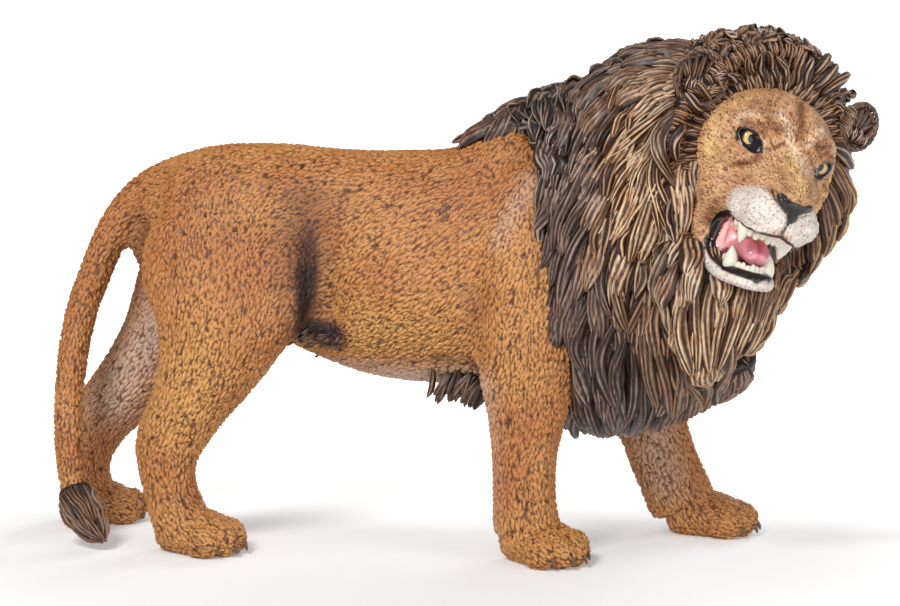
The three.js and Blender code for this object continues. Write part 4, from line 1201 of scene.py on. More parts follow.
def under_locks(mesh, tree, way_at, kind_at, keep, spacing, length, width, locks):
    """A layer of locks all over a core, lying along its hair."""
    rng = locks.rng
    points, outs = scattered(mesh, spacing, rng, keep)
    for point, out in zip(points, outs):
        long = length * rng.uniform(0.8, 1.25)
        steps = 5
        here, way_out = nearest(tree, point - way_at(point, out) * long * 0.3)
        run, ups = [here], [way_out]
        bend = rng.normal(0.0, 0.22)
        for k in range(steps):
            way = way_at(here, way_out)
            way = way + np.cross(way_out, way) * bend * (k / steps - 0.3)
            here, way_out = nearest(tree, here + unit(way) * long / steps)
            run.append(here)
            ups.append(way_out)
        wide = width * rng.uniform(0.55, 1.3)
        locks.add(np.array(run), np.array(ups), wide, 0.32 * wide + 0.15, kind_at(point))
    return locks


class Combed:
    """The way the hair lies, from the laid locks near a point and a plain rule further off."""

    def __init__(self, locks, rule, kind_rule, reach=4.5):
        paths = [p for some in locks for p in some.paths]
        kinds = [np.array(KINDS[k]) for some in locks for k in some.kinds]
        self.places = np.concatenate([p[1:-1] for p in paths])
        self.ways = np.concatenate([unit(np.gradient(p, axis=0))[1:-1] for p in paths])
        self.kinds = np.concatenate([np.repeat(k[None], len(p) - 2, 0) for k, p in zip(kinds, paths)])
        self.rule, self.kind_rule, self.reach = rule, kind_rule, reach

    def weights(self, point):
        return np.exp(-np.sum((self.places - point) ** 2, axis=1) / self.reach ** 2)

    def way(self, point, out):
        weight = self.weights(point)
        way = weight @ self.ways + 0.06 * unit(self.rule(point, out))
        return unit(way - out * (way @ out))

    def kind(self, point):
        weight = self.weights(point)
        blend = weight @ self.kinds + 0.06 * np.array(KINDS[self.kind_rule(point)])
        return tuple(blend / (weight.sum() + 0.06))


def collar_way(point, out):
    back = max(0.0, out[2]) ** 2
    return np.array((-0.15 - 1.2 * back, 0.5 * np.sign(out[1]) * back, -1.0))


def ruff_way(point, out):
    """Away from the face all round, then down."""
    in_head = into_head(point)
    round_face = np.array((-0.5, in_head[1], in_head[2] + 6.0)) / 14.0
    return HEAD_MATRIX[:3, :3] @ round_face + np.array((0.0, 0.0, -0.9))


# Short dark hair round the face
def fringe_way(point, out):
    at = into_head(point)
    way = np.array((-0.7, at[1] * 1.2, at[2] + 3.0)) / 10.0
    way[2] -= 0.35
    return HEAD_MATRIX[:3, :3] @ way


def fringe_kind(point):
    at = into_head(point)
    return (0.7, 0.1 + 0.25 * step(2.0, 7.0, at[2]))


def beside_face(points, outs):
    at = into_head(points)
    round_face = np.hypot(at[:, 1] / 11.6, (at[:, 2] + 3.0) / 10.6)
    ahead = at[:, 0] > -15.0 + 2.5 * step(-1.0, 3.0, at[:, 1])
    return ahead & (round_face > 0.95) & (at[:, 2] > -25.0) & (at[:, 0] < -3.0)


def make_fringe(ruff, tree, paint):
    locks = Locks(7, 16, 31)
    under_locks(ruff, tree, fringe_way, fringe_kind, beside_face, 1.1, 3.4, 1.1, locks)
    finished("face_fringe", locks.mesh(tip_lift=1.1, groove=0.25), ["mane_ruff"], paint)


# Small curls over the crown
def curl_kind(point):
    return (0.5, 0.35 + 0.25 * math.sin(point[0] * 2.1) * math.sin(point[1] * 1.7))


def on_crown(points, outs):
    at = into_head(points)
    return (at[:, 2] > 8.5) & (at[:, 0] < -8.5) & (at[:, 0] > -30.0) & (outs[:, 2] > 0.1)


def make_curls(ruff, tree, paint):
    locks = Locks(9, 16, 32)
    rng = np.random.default_rng(33)
    turns = {}

    def curl_way(point, out):
        key = tuple(np.floor(point / 2.0).astype(int))
        if key not in turns:
            turns[key] = rng.uniform(0.0, 2.0 * math.pi)
        side = unit(np.cross(out, UP))
        swirl = ruff_way(point, out) * 0.5 + side * math.cos(turns[key])
        return swirl + np.cross(side, out) * math.sin(turns[key])

    under_locks(ruff, tree, curl_way, curl_kind, on_crown, 1.6, 2.9, 2.0, locks)
    finished("crown_curls", locks.mesh(tip_lift=1.5, groove=0.35), ["mane_ruff"], paint)


def hair_paint(name):
    paint = Paint(name, Roughness=0.42)
    relief, gold, pale = paint.mask("relief"), paint.mask("gold"), paint.mask("pale")
    sunk = paint.mask("sunk")
    speckle = paint.noise(0.8) - 0.5
    patch = paint.between(paint.noise(3.5), 0.3, 0.7)
    deep = paint.mix(gold, srgb(22, 12, 9), srgb(56, 29, 14))
    body = paint.mix(gold, srgb(70, 44, 34), srgb(176, 122, 78))
    light = paint.mix(gold, srgb(204, 180, 168), srgb(252, 222, 180))
    body = paint.mix(pale * patch * 0.6, body, light)
    # Painted shade: where the relief is low, in the troughs and on the shaded side and underside of each
    # lock, the hair takes the deep colour.
    lit = paint.between(relief + speckle * 0.4, 0.04, 0.55)
    colour = paint.mix(lit, deep, body)
    # A painted highlight along the crests, broken up by noise and stronger on paler kinds; partly the paler
    # paint on the ridges.
    broken = paint.between(paint.noise(2.2), 0.34, 0.6) * 0.75 + 0.25
    crest_paint_and_highlight = paint.between(relief + speckle * 0.35, 0.45, 0.85) * (pale * 0.85 + 0.15) * broken
    colour = paint.mix(crest_paint_and_highlight, colour, light)
    # Painted shade towards the root of each lock, where it goes under the others.
    colour = paint.mix(sunk * 0.8, colour, deep)
    paint.feed("Base Color", colour)
    return paint.material


def core_paint():
    # The cores are painted near black and matt, standing for the deep shade between the locks where they show
    # through: painted shade.
    paint = Paint("mane_shadow_paint", Roughness=0.9)
    paint.feed("Base Color", paint.mix(paint.noise(1.2), srgb(30, 19, 14), srgb(16, 10, 8)))
    return paint.material


# Ears: thick-rimmed cups with dark strands in the hollow and a pale tuft at the foot

# Each ear's place on the head, its turn in degrees, and its half width and half height
EARS = {
    "right": ((-8.6, -14.2, 6.2), -14.0, (3.9, 4.1)),
    "left": ((-8.8, 12.7, 8.7), 14.0, (3.1, 3.6)),
}
# The cup's section: how far out of the opening, and how wide, in shares of the ear's halves
EAR_CUP = [
    (-2.1, 0.05), (-1.9, 0.55), (-1.1, 0.86), (0.0, 1.0), (0.8, 1.02), (1.2, 0.95),
    (1.1, 0.84), (0.4, 0.76), (-0.5, 0.62), (-1.0, 0.35), (-1.05, 0.04),
]
EAR_STRANDS = 7
RIM_STRANDS = 40
CROWN_SIDE_STRANDS = 11
FOOT_STRANDS = 9


def lathe(section, sides):
    """A closed cup with rings at (along, wide): the mesh, and where its vertices go."""
    mesh = unit_tube(len(section), sides)
    flat = coords(mesh)
    along, wide = np.array(section)[np.rint(flat[:, 0]).astype(int)].T
    return mesh, along, flat[:, 1] * wide, flat[:, 2] * wide


def ear_place(name):
    at, turn, _ = EARS[name]
    return HEAD @ Matrix.Translation(at) @ Matrix.Rotation(math.radians(turn), 4, "Z")


def carried(matrix, points):
    matrix = np.array(matrix)
    return np.asarray(points, float) @ matrix[:3, :3].T + matrix[:3, 3]


def make_ear(name, cup_paint, hair):
    section = smooth_run(EAR_CUP, 30)
    _, _, (wide_half, high_half) = EARS[name]
    mesh, along, wide, high = lathe(section, 48)
    turn = np.arctan2(high, wide)
    ripple = 0.05 * np.sin(turn * 5.0) + 0.04 * np.sin(turn * 3.0 + 1.0)
    co = np.stack([along + 0.5 * (np.hypot(wide, high) ** 2) * np.cos(turn * 2.0) * 0.4,
                   wide * wide_half * (1.0 + ripple), high * high_half * (1.0 + ripple)], axis=1)
    place = ear_place(name)
    set_coords(mesh, carried(place, co))
    attribute(mesh, "inside", step(0.9, 0.3, along) * (np.hypot(wide, high) < 0.85))
    finished(f"ear_{name}_cup", mesh, [f"ear_{name}"], cup_paint)
    locks = Locks(8, 16, 40 + len(name))
    matrix = np.array(place)[:3, :3]

    def strand(run, outs, width, thick, kind):
        locks.add(carried(place, run), np.array(outs) @ matrix.T, width, thick, kind, 2)

    for k in range(EAR_STRANDS):
        a = math.radians(165.0 - 135.0 * k / (EAR_STRANDS - 1.0))
        ends = [(1.0, 0.9, 0.9), (0.55, 0.78, 0.5), (0.0, 0.62, 0.05), (-0.3, 0.5, -0.4)]
        rim_y, rim_z = wide_half * math.cos(a), high_half * max(math.sin(a), 0.5)
        run = [(x, s * rim_y, t * rim_z) for x, s, t in ends]
        strand(run, [(1.0, 0.0, 0.3)] * 4, 1.05, 0.6, (0.4, 0.25 * (k % 3 == 0)))
    for k in range(RIM_STRANDS):
        a = math.tau * (k + 0.3 * math.sin(k * 4.0)) / RIM_STRANDS
        ends = [(0.8, 0.9, a), (1.2, 0.98, a + 0.12), (1.1, 1.02, a + 0.26), (0.7, 1.02, a + 0.42)]
        run = [(x, r * wide_half * math.cos(t), r * high_half * math.sin(t)) for x, r, t in ends]
        outs = [(1.0, math.cos(a) * s, math.sin(a) * s) for s in (0.0, 0.5, 1.0, 2.0)]
        strand(run, outs, 0.75, 0.35, (0.42, 0.1))
    crown_side = 1.0 if name == "right" else -1.0
    for k in range(CROWN_SIDE_STRANDS):
        low = -1.9 + 0.36 * k
        side = crown_side * (0.5 + 0.12 * (k % 3))
        end = crown_side * (3.5 + 0.3 * (k % 2))
        run = [(0.7, side, low - 0.8), (1.6, crown_side * 1.5 + side, low - 0.2),
               (1.7, crown_side * 2.6, low + 0.3), (1.1, end, low + 0.7)]
        strand(run, [(1.0, 0.0, 0.0)] * 4, 0.95, 0.5, (0.35, 0.5 + 0.3 * (k % 2)))
    for k in range(FOOT_STRANDS):
        foot = np.array((0.3 + 0.1 * (k % 3), -1.7 + 0.42 * k, -2.6 + 0.25 * (k % 2)))
        tip = foot + np.array((0.7, 0.5 * math.sin(k * 2.0), 1.9 + 0.4 * math.cos(k * 1.3)))
        middle = (foot + tip) / 2 + np.array((0.7, 0.0, 0.0))
        strand([foot, middle, tip], [(1.0, 0.0, 0.0)] * 3, 0.95, 0.6, (0.35, 0.85))
    finished(f"ear_{name}_hair", locks.mesh(tip_lift=0.6, groove=0.3), [f"ear_{name}"], hair)


def make_ears(hair):
    paint = Paint("ear_paint", Roughness=0.6)
    grain = paint.noise(0.6, stretch=(1.0, 1.0, 0.4))
    outside = paint.mix(paint.between(grain, 0.35, 0.65), srgb(70, 46, 34), srgb(124, 92, 72))
    inside = paint.mix(grain, srgb(30, 18, 14), srgb(58, 36, 28))
    paint.feed("Base Color", paint.mix(paint.mask("inside"), outside, inside))
    for name in EARS:
        make_ear(name, paint.material, hair)


# Tail tuft: ridged locks over a tapering core
TUFT = [
    (-61.0, -9.4, 9.5, 2.5, 2.5),
    (-60.0, -10.5, 7.1, 2.7, 2.7),
    (-58.4, -11.8, 4.9, 2.5, 2.5),
    (-57.0, -12.9, 3.4, 1.5, 1.5),
    (-55.8, -13.8, 2.3, 0.6, 0.6),
]
TUFT_TIP = np.array((-54.6, -14.8, 1.0))


def make_tuft(paint):
    core = joined([tube(TUFT, 20, 24)])
    tree = tree_of(core)
    locks = Locks(10, 25, 51)

    def way(point, out):
        return unit(TUFT_TIP - point)

    def above_tip(points, outs):
        return points[:, 2] > 2.5

    under_locks(core, tree, way, lambda point: (0.4, 0.1), above_tip, 1.5, 6.6, 1.5, locks)
    # The core has no relief, so the hair paint gives it the deep colour: painted shade under the locks.
    attribute(core, "relief", np.zeros(len(core.vertices)))
    for name in ("gold", "pale", "sunk"):
        attribute(core, name, np.full(len(core.vertices), 0.4))
    finished("tail_tuft_core", core, ["tail_tuft"], paint)
    finished("tail_tuft_locks", locks.mesh(tip_lift=0.3, groove=0.45), ["tail_tuft"], paint)


def make_mane():
    dark_paint, light_paint = hair_paint("mane_dark_paint"), hair_paint("mane_light_paint")
    core_dark = core_paint()
    collar, ruff = collar_core(), ruff_core()
    ruff_skin = ruff.copy()
    collar_tree, ruff_tree, whole_tree = tree_of(collar), tree_of(ruff), tree_of(collar, ruff)
    seen_collar = seen_locks(COLLAR_LOCKS, whole_tree, Locks(14, 34, 5))
    seen_ruff = seen_locks(RUFF_LOCKS, whole_tree, Locks(14, 34, 6))
    inner = [("umber", 13, [(u - 7, v - 2) for u, v in run]) for kind, _, run in RUFF_LOCKS if kind == "rust"]
    seen_locks(inner, whole_tree, seen_ruff)
    seen = (seen_collar, seen_ruff)
    collar_comb = Combed(seen, collar_way, lambda p: "smoke")
    ruff_comb = Combed(seen, ruff_way, lambda p: "curl" if p[2] > 78 else "rust")

    def collar_keeps(points, outs):
        outside = np.array([ruff_tree.find_nearest(Vector(p))[3] > 0.2 for p in points])
        return outside & ((points[:, 0] > 7.5) | (points[:, 2] < 60.0))

    def ruff_keeps(points, outs):
        at = into_head(points)
        return ((at[:, 0] < -9.5) | (at[:, 2] < -16.0)) & ~on_crown(points, outs)

    collar_under = Locks(10, 25, 8)
    under_locks(
        collar, collar_tree, collar_comb.way, collar_comb.kind, collar_keeps, 2.7, 10.5, 3.6, collar_under,
    )
    ruff_under = Locks(10, 25, 9)
    under_locks(ruff, ruff_tree, ruff_comb.way, ruff_comb.kind, ruff_keeps, 2.9, 8.0, 3.2, ruff_under)
    finished("mane_collar_core", collar, ["mane_collar"], core_dark)
    for side, half in zip(("right", "left"), collar_under.halves()):
        finished(f"mane_collar_under_{side}", half.mesh(), ["mane_collar"], dark_paint)
    finished("mane_collar_locks", seen_collar.mesh(), ["mane_collar"], dark_paint)
    finished("mane_ruff_core", ruff, ["mane_ruff"], core_dark)
    finished("mane_ruff_under", ruff_under.mesh(), ["mane_ruff"], light_paint)
    finished("mane_ruff_locks", seen_ruff.mesh(), ["mane_ruff"], light_paint)
    make_fringe(ruff_skin, ruff_tree, light_paint)
    make_curls(ruff_skin, ruff_tree, light_paint)
    make_ears(light_paint)
    make_tuft(dark_paint)


# Head: skull, muzzle, cheeks and jaw in one skin, in the head's own axes

SKULL = [
    (-20.0, 0.0, 0.0, 4.5, 4.0),
    (-18.0, 0.0, -0.5, 8.5, 8.0),
    (-13.0, 0.0, -1.2, 11.0, 11.0),
    (-9.0, 0.0, -1.3, 10.9, 11.7),
    (-5.0, 0.0, -1.5, 10.3, 10.9),
    (-2.0, 0.0, -2.1, 9.4, 8.9),
    (0.5, 0.0, -3.4, 8.0, 7.8),
    (3.5, 0.0, -4.8, 5.4, 5.2),
    (5.5, 0.0, -5.4, 2.6, 2.6),
]
MUZZLE = [
    (-2.0, 0.0, -5.5, 6.0, 6.6),
    (2.0, 0.0, -5.2, 6.0, 5.6),
    (6.0, 0.0, -6.6, 5.2, 4.8),
    (10.0, 0.0, -8.4, 4.2, 4.3),
    (12.0, 0.0, -9.4, 3.1, 3.5),
    (13.0, 0.0, -9.6, 1.7, 2.2),
]
JAW = [
    (-9.0, 0.0, -15.0, 2.4, 4.6),
    (-5.0, 0.0, -17.6, 3.0, 5.0),
    (0.0, 0.0, -20.0, 1.7, 4.4),
    (4.0, 0.0, -20.7, 1.3, 3.8),
    (7.0, 0.0, -20.9, 1.0, 2.6),
    (8.0, 0.0, -20.8, 0.7, 1.5),
]
# Lumps on both sides of the head: (centre, half sizes)
HEAD_LUMPS = [
    ((8.9, 3.2, -10.2), (4.0, 3.3, 3.0)),
    ((5.6, 4.4, -10.2), (4.0, 2.4, 2.5)),
    ((-4.5, 6.4, -6.5), (5.5, 3.6, 6.0)),
    ((12.2, 2.4, -8.4), (1.3, 0.9, 1.1)),
    ((2.4, 2.3, 1.0), (2.0, 1.4, 2.2)),
]
NOSE_PAD = [
    (12.2, -3.1, -7.1, 0.5, 0.6),
    (13.0, -2.4, -7.2, 1.05, 1.1),
    (13.6, -1.3, -7.5, 1.5, 1.25),
    (13.9, 0.0, -7.8, 1.7, 1.3),
    (13.6, 1.3, -7.5, 1.5, 1.25),
    (13.0, 2.4, -7.2, 1.05, 1.1),
    (12.2, 3.1, -7.1, 0.5, 0.6),
]
NOSE_FOOT = ((13.3, 0.0, -9.5), (1.1, 1.5, 1.3))
# Folds and ridges on both sides: runs of (x, y, z, radius)
HEAD_CORDS = [
    [(2.6, 1.7, 2.4, 1.3), (1.9, 4.2, 2.9, 1.6), (0.4, 6.2, 2.9, 1.35), (-2.4, 7.9, 2.3, 1.0)],
    [(1.8, 5.2, -3.9, 1.5), (-0.2, 7.3, -3.3, 1.8), (-3.5, 8.7, -2.2, 1.5)],
    [(10.5, 2.3, -6.6, 1.3), (6.0, 3.8, -5.0, 1.7), (2.0, 4.8, -3.8, 1.6)],
    [
        (6.5, 4.9, -10.9, 1.8), (1.5, 5.6, -10.0, 2.0), (-3.0, 6.4, -11.5, 2.1), (-5.4, 6.0, -15.0, 2.0),
        (-4.6, 4.6, -18.0, 1.8),
    ],
    [(-6.4, 6.9, -12.0, 1.8), (-6.0, 5.6, -15.6, 1.8), (-4.6, 4.3, -18.6, 1.7), (-2.4, 3.4, -20.8, 1.4)],
    [(12.1, 0.0, -11.7, 1.3), (11.2, 2.1, -12.0, 1.4), (9.4, 3.6, -11.9, 1.5), (6.5, 4.2, -11.5, 1.4)],
]
JAW_CORD = [
    (-4.5, 5.0, -17.4, 1.4), (-1.0, 4.4, -19.5, 1.3), (3.0, 3.8, -20.5, 1.2), (6.0, 2.5, -20.7, 1.15),
    (7.5, 0.0, -20.8, 1.15),
]
# The lip line of one side, from under the nose round the corner of the mouth to the chin
UPPER_LIP = [
    (12.6, 0.0, -12.9, 0.32),
    (11.6, 2.2, -13.3, 0.32),
    (10.0, 3.9, -13.3, 0.32),
    (7.0, 4.8, -12.9, 0.24),
    (3.5, 4.8, -12.0, 0.3),
    (0.5, 4.3, -11.6, 0.45),
    (-1.6, 4.2, -12.2, 0.6),
    (-2.8, 4.45, -13.9, 0.7),
    (-3.1, 4.5, -16.2, 0.75),
]
LOWER_LIP = [
    (-3.1, 4.5, -16.2, 0.75),
    (-2.4, 4.2, -17.7, 0.75),
    (-0.6, 3.9, -18.9, 0.85),
    (3.0, 3.3, -19.8, 1.0),
    (6.0, 1.9, -20.1, 1.05),
    (7.2, 0.0, -20.2, 1.05),
]
JAW_ROLL = Matrix.Rotation(math.radians(8.0), 4, "X")
JAW_MIDDLE = (0.0, 0.0, -17.0)
EYE_AT = (-0.6, 5.9, -0.1)
EYE_RADIUS = 2.1
UPPER_LID = [
    (-0.2, 8.3, 0.5, 0.3),
    (0.6, 7.5, 1.15, 0.45),
    (1.3, 6.5, 1.2, 0.5),
    (1.75, 5.4, 0.6, 0.5),
    (1.9, 4.5, -0.5, 0.42),
    (1.75, 3.9, -1.7, 0.3),
]
LOWER_LID = [
    (-0.2, 8.3, 0.4, 0.3),
    (0.45, 7.5, -0.8, 0.4),
    (1.05, 6.5, -1.6, 0.42),
    (1.45, 5.4, -2.1, 0.42),
    (1.7, 4.2, -2.1, 0.3),
]


def mirrored_points(run, side):
    return [(x, y * side, *rest) for x, y, *rest in run]


def cord_of(run, steps, sides=12):
    return tube([(x, y, z, r, r) for x, y, z, r in run], steps, sides, across=(0.13, 0.21, 0.97))


def rolled(bm):
    middle = Matrix.Translation(JAW_MIDDLE)
    bmesh.ops.transform(bm, matrix=middle @ JAW_ROLL @ middle.inverted(), verts=bm.verts)
    return bm


def rolled_points(points):
    points = np.asarray(points, float)
    turn = np.array(JAW_ROLL)[:3, :3]
    return (points - JAW_MIDDLE) @ turn.T + JAW_MIDDLE

def lower_lip(side):
    """The line of the lower lip on one side, rolled with the jaw."""
    return rolled_points(np.array(mirrored_points(LOWER_LIP, side))[:, :3])


# Creases, swellings and paint of the near half of the face, both halves alike, and of its middle and
# its jaw: (what, radius, amount, run), runs and radii in the photograph's pixels
SIDE_MARKS = [
    ("press", 1.6, -0.7, [(758.0, 121.5), (761.7, 124.5), (764.7, 128.8), (765.9, 133.0), (764.1, 136.7)]),
    ("press", 3.6, 0.6, [(745.9, 123.9), (754.4, 126.4), (760.5, 131.2)]),
    ("press", 5.0, 0.35, [(737.4, 117.9), (748.3, 113.0), (758.0, 114.2), (767.7, 120.3)]),
    ("press", 4.5, -0.85, [(770.8, 130.0), (777.4, 130.0)]),
    ("press", 1.3, -0.42, [(765.9, 134.2), (771.4, 132.4), (778.6, 128.2), (783.5, 125.2)]),
    ("press", 1.6, -0.5, [(761.7, 148.8), (768.9, 148.8), (777.4, 147.0), (784.1, 142.1)]),
    ("press", 3.6, 0.65, [(779.8, 113.6), (785.3, 120.9), (787.7, 128.2), (788.3, 135.5)]),
    ("press", 2.0, -0.7, [(759.2, 153.6), (755.0, 159.1), (748.3, 163.3), (739.8, 165.8), (731.4, 167.6)]),
    ("press", 2.8, 0.45, [(736.8, 143.9), (743.5, 150.0), (752.0, 155.5)]),
    ("press", 1.3, -0.42, [(777.4, 151.8), (783.5, 158.5), (787.1, 164.5), (792.0, 171.8)]),
    ("press", 1.6, -0.6, [(766.5, 181.5), (771.4, 187.0), (775.0, 191.8)]),
    ("press", 2.0, -0.7, [
        (763.0, 182.5), (770.5, 189.1), (773.4, 196.6), (777.1, 204.0), (782.9, 210.7), (787.1, 218.1),
    ]),
    ("press", 1.1, 0.16, [(757.2, 190.8), (763.0, 198.2), (770.5, 207.4), (778.8, 215.7)]),
    ("press", 1.1, 0.16, [(749.8, 204.0), (758.0, 209.0), (766.3, 218.1)]),
    ("press", 1.1, -0.22, [(754.3, 193.3), (760.5, 200.7), (768.0, 209.9), (775.5, 218.1)]),
    ("press", 1.1, -0.22, [(746.4, 205.7), (756.4, 212.3), (763.8, 220.6)]),
    ("press", 1.1, -0.2, [(743.1, 214.8), (749.8, 223.1), (759.7, 226.4)]),
    ("white", 1.1, 1.0, [(739.2, 138.5), (742.9, 145.2), (749.5, 150.0), (756.2, 153.3)]),
    # The pale marks are partly paler paint and partly a painted highlight on the brow and on the ridges by
    # the nose bridge.
    ("pale", 2.6, 0.5, [(764.1, 142.7), (762.3, 149.4)]),
    ("pale", 5.0, 0.4, [(737.4, 119.1), (747.1, 113.6), (755.6, 115.5)]),
    ("pale", 4.4, 0.6, [(779.8, 111.8), (785.3, 120.3), (788.3, 128.2), (789.2, 136.1)]),
    ("white", 10.0, 1.1, [(739.8, 196.6), (758.0, 196.6), (768.8, 207.4), (779.6, 223.1)]),
    ("white", 9.0, 1.1, [(735.7, 207.4), (746.4, 219.8), (766.3, 226.4)]),
    ("gold", 11.0, 0.75, [(714.9, 108.1), (709.1, 131.6), (707.6, 158.0)]),
    ("gold", 8.0, 0.5, [(731.1, 99.3), (760.4, 92.0)]),
    # The brown marks are painted shade in the creases and hollows beside the ridges and under the eye, and
    # the brown paint of the face's edge and hairline.
    ("brown", 5.0, 0.9, [(768.9, 120.9), (773.8, 129.4), (781.1, 129.4)]),
    ("brown", 1.5, 1.0, [(758.0, 121.5), (761.7, 124.5), (764.7, 128.8), (765.9, 133.0), (764.1, 136.7)]),
    ("brown", 4.0, 0.75, [(745.9, 123.3), (754.4, 126.4), (760.5, 130.6)]),
    ("brown", 1.4, 0.85, [(761.7, 148.8), (768.9, 148.8), (777.4, 147.0), (784.1, 142.1)]),
    ("brown", 3.6, 0.85, [(758.0, 156.1), (750.2, 161.5), (738.6, 163.3)]),
    ("brown", 7.0, 0.3, [(748.7, 103.7), (772.2, 103.7)]),
    ("brown", 7.0, 0.8, [(714.9, 202.0), (706.1, 222.6), (703.2, 243.1)]),
    ("brown", 5.0, 0.5, [(779.8, 170.6), (783.5, 179.7), (787.1, 188.2)]),
    ("brown", 4.0, 0.55, [(768.8, 188.3), (772.1, 199.1)]),
    ("brown", 9.0, 0.75, [(698.8, 114.0), (719.3, 93.5), (754.6, 83.2), (781.0, 83.2)]),
    ("black", 2.0, 1.5, [
        (736.8, 132.4), (741.7, 128.2), (747.1, 128.5), (752.6, 130.9), (757.7, 136.4), (760.8, 141.5),
        (761.7, 147.6), (761.1, 151.8), (755.6, 152.4), (749.5, 149.1), (743.8, 144.2), (740.2, 138.8),
        (738.0, 134.8),
    ]),
    ("black", 1.6, 0.9, [(772.1, 190.0), (774.6, 199.1), (779.6, 204.9), (786.2, 213.2)]),
    ("black", 4.2, 1.5, [(749.0, 141.0), (753.5, 145.5), (757.5, 148.5)]),
    ("black", 3.0, 1.5, [(753.0, 137.5), (757.5, 142.0), (758.5, 147.0)]),
    ("white", 7.0, 1.1, [(751.4, 204.9), (763.0, 215.7)]),
    ("press", 6.0, 0.5, [(734.0, 152.2), (719.3, 163.9)]),
    ("brown", 2.2, 0.6, [(777.1, 192.4), (779.6, 199.1)]),
]
MIDDLE_MARKS = [
    ("press", 3.6, -0.75, [(801.1, 106.4), (802.3, 119.1), (801.7, 128.2), (801.7, 136.1)]),
    ("press", 1.3, -0.45, [(789.5, 174.2), (794.4, 179.1), (799.2, 183.9)]),
    ("press", 1.0, -0.25, [(802.9, 166.4), (806.5, 171.2)]),
    ("press", 1.3, -0.6, [(787.9, 221.5), (784.6, 228.9), (781.7, 233.9)]),
    ("press", 1.3, -0.5, [(781.7, 195.8), (786.2, 201.6)]),
    # Painted shade down the forehead's groove and in the crease across the bridge, and a painted highlight
    # down the nose bridge.
    ("brown", 4.6, 1.0, [(801.1, 104.5), (802.3, 119.1), (802.3, 128.2), (801.7, 136.1)]),
    ("brown", 1.1, 0.8, [(789.5, 174.2), (794.4, 179.1), (799.2, 183.9)]),
    ("pale", 5.0, 0.6, [(789.5, 139.1), (793.2, 149.4), (800.5, 158.5), (806.5, 170.6)]),
    ("gold", 9.0, 0.7, [(795.6, 164.5), (802.9, 185.8)]),
    ("black", 3.4, 1.6, [(781.7, 196.2), (787.9, 201.6), (793.7, 207.4)]),
    ("black", 5.6, 1.7, [(787.9, 204.9), (792.9, 211.1), (792.5, 217.3)]),
    ("black", 4.0, 1.6, [(791.2, 208.2), (799.5, 210.7), (809.5, 209.0)]),
    ("black", 3.0, 1.5, [(795.4, 213.2), (790.8, 221.5)]),
    ("black", 1.6, 1.3, [(789.1, 219.8), (787.1, 225.6), (782.1, 233.1)]),
    ("black", 3.6, 1.6, [(780.0, 197.0), (782.0, 203.5), (786.0, 210.0)]),
    ("black", 6.2, 1.6, [(790.0, 207.5), (797.5, 210.0)]),
    ("white", 3.4, 1.1, [(798.7, 219.3), (807.8, 217.7), (816.1, 213.9)]),
]
JAW_MARKS = [
    ("white", 9.5, 1.2, [
        (705.0, 254.6), (709.1, 269.6), (721.6, 281.2), (741.5, 287.0), (758.0, 284.5), (765.5, 277.8),
    ]),
    ("black", 4.2, 1.5, [
        (727.4, 211.5), (719.1, 216.5), (714.1, 224.8), (712.4, 236.4), (713.7, 248.0), (717.8, 258.8),
        (724.9, 266.2),
    ]),
    ("black", 2.6, 1.5, [(716.6, 233.0), (717.2, 223.0), (721.6, 216.6), (727.0, 212.5)]),
    ("black", 3.0, 1.4, [(771.5, 248.0), (773.5, 256.0), (773.0, 263.0)]),
    ("black", 4.6, 1.6, [(724.9, 266.2), (737.3, 271.2), (749.8, 275.4), (759.7, 277.4), (765.5, 275.4)]),
    ("white", 5.0, 1.2, [(765.5, 277.8), (773.0, 281.6)]),
    ("white", 7.0, 1.4, [(767.0, 285.0), (774.0, 290.0)]),
]
# The hollow for an eye: (from, to, how wide, how high)
SOCKET = ((0.3, 7.2, 0.2), (2.0, 4.6, -1.1), 1.6, -2.9)
WHISKER_DOTS = [
    (759.3, 196.6), (761.8, 201.1), (765.5, 203.6), (769.7, 209.0), (773.8, 214.8), (777.9, 219.0),
    (747.3, 204.0), (753.9, 207.8), (759.3, 212.8), (764.3, 217.3), (768.8, 223.1),
    (744.8, 212.3), (749.8, 219.0), (754.7, 223.1),
]
NOSE_TIP = np.array((14.0, 0.0, -8.0))



def head_clay():
    forms = [tube(SKULL, 30, 40), tube(MUZZLE, 24, 32), rolled(tube(JAW, 20, 24))]
    forms += [tube(NOSE_PAD, 16, 20, across=UP), egg(*NOSE_FOOT)]
    for side in (1, -1):
        forms += [egg(mirrored_points([at], side)[0], halves) for at, halves in HEAD_LUMPS]
        forms += [cord_of(mirrored_points(run, side), 12) for run in HEAD_CORDS]
        forms.append(rolled(cord_of(mirrored_points(JAW_CORD, side), 12)))
    rough = remeshed(joined(forms), 0.42)
    pairs = pairs_of(rough)
    co = relaxed(coords(rough), pairs, 7)
    set_coords(rough, co)
    start, end, radius, height = SOCKET
    sockets = [(*mirrored_points([start, end], side), radius, height) for side in (1, -1)]
    set_coords(rough, worked(rough, sockets))
    forms = [smoothed(rough)]
    for side in (1, -1):
        forms.append(cord_of(mirrored_points(UPPER_LIP, side), 40, 12))
        forms.append(rolled(cord_of(mirrored_points(LOWER_LIP, side), 30, 12)))
        forms.append(cord_of(mirrored_points(UPPER_LID, side), 20, 10))
        forms.append(cord_of(mirrored_points(LOWER_LID, side), 20, 10))
    skin = remeshed(joined(forms), FACE_GRAIN)
    co = relaxed(coords(skin), pairs_of(skin), 3)
    set_coords(skin, co)
    co = coords(skin)
    set_coords(skin, co + normals_of(skin) * marked(co, "press")[:, None])
    return skin


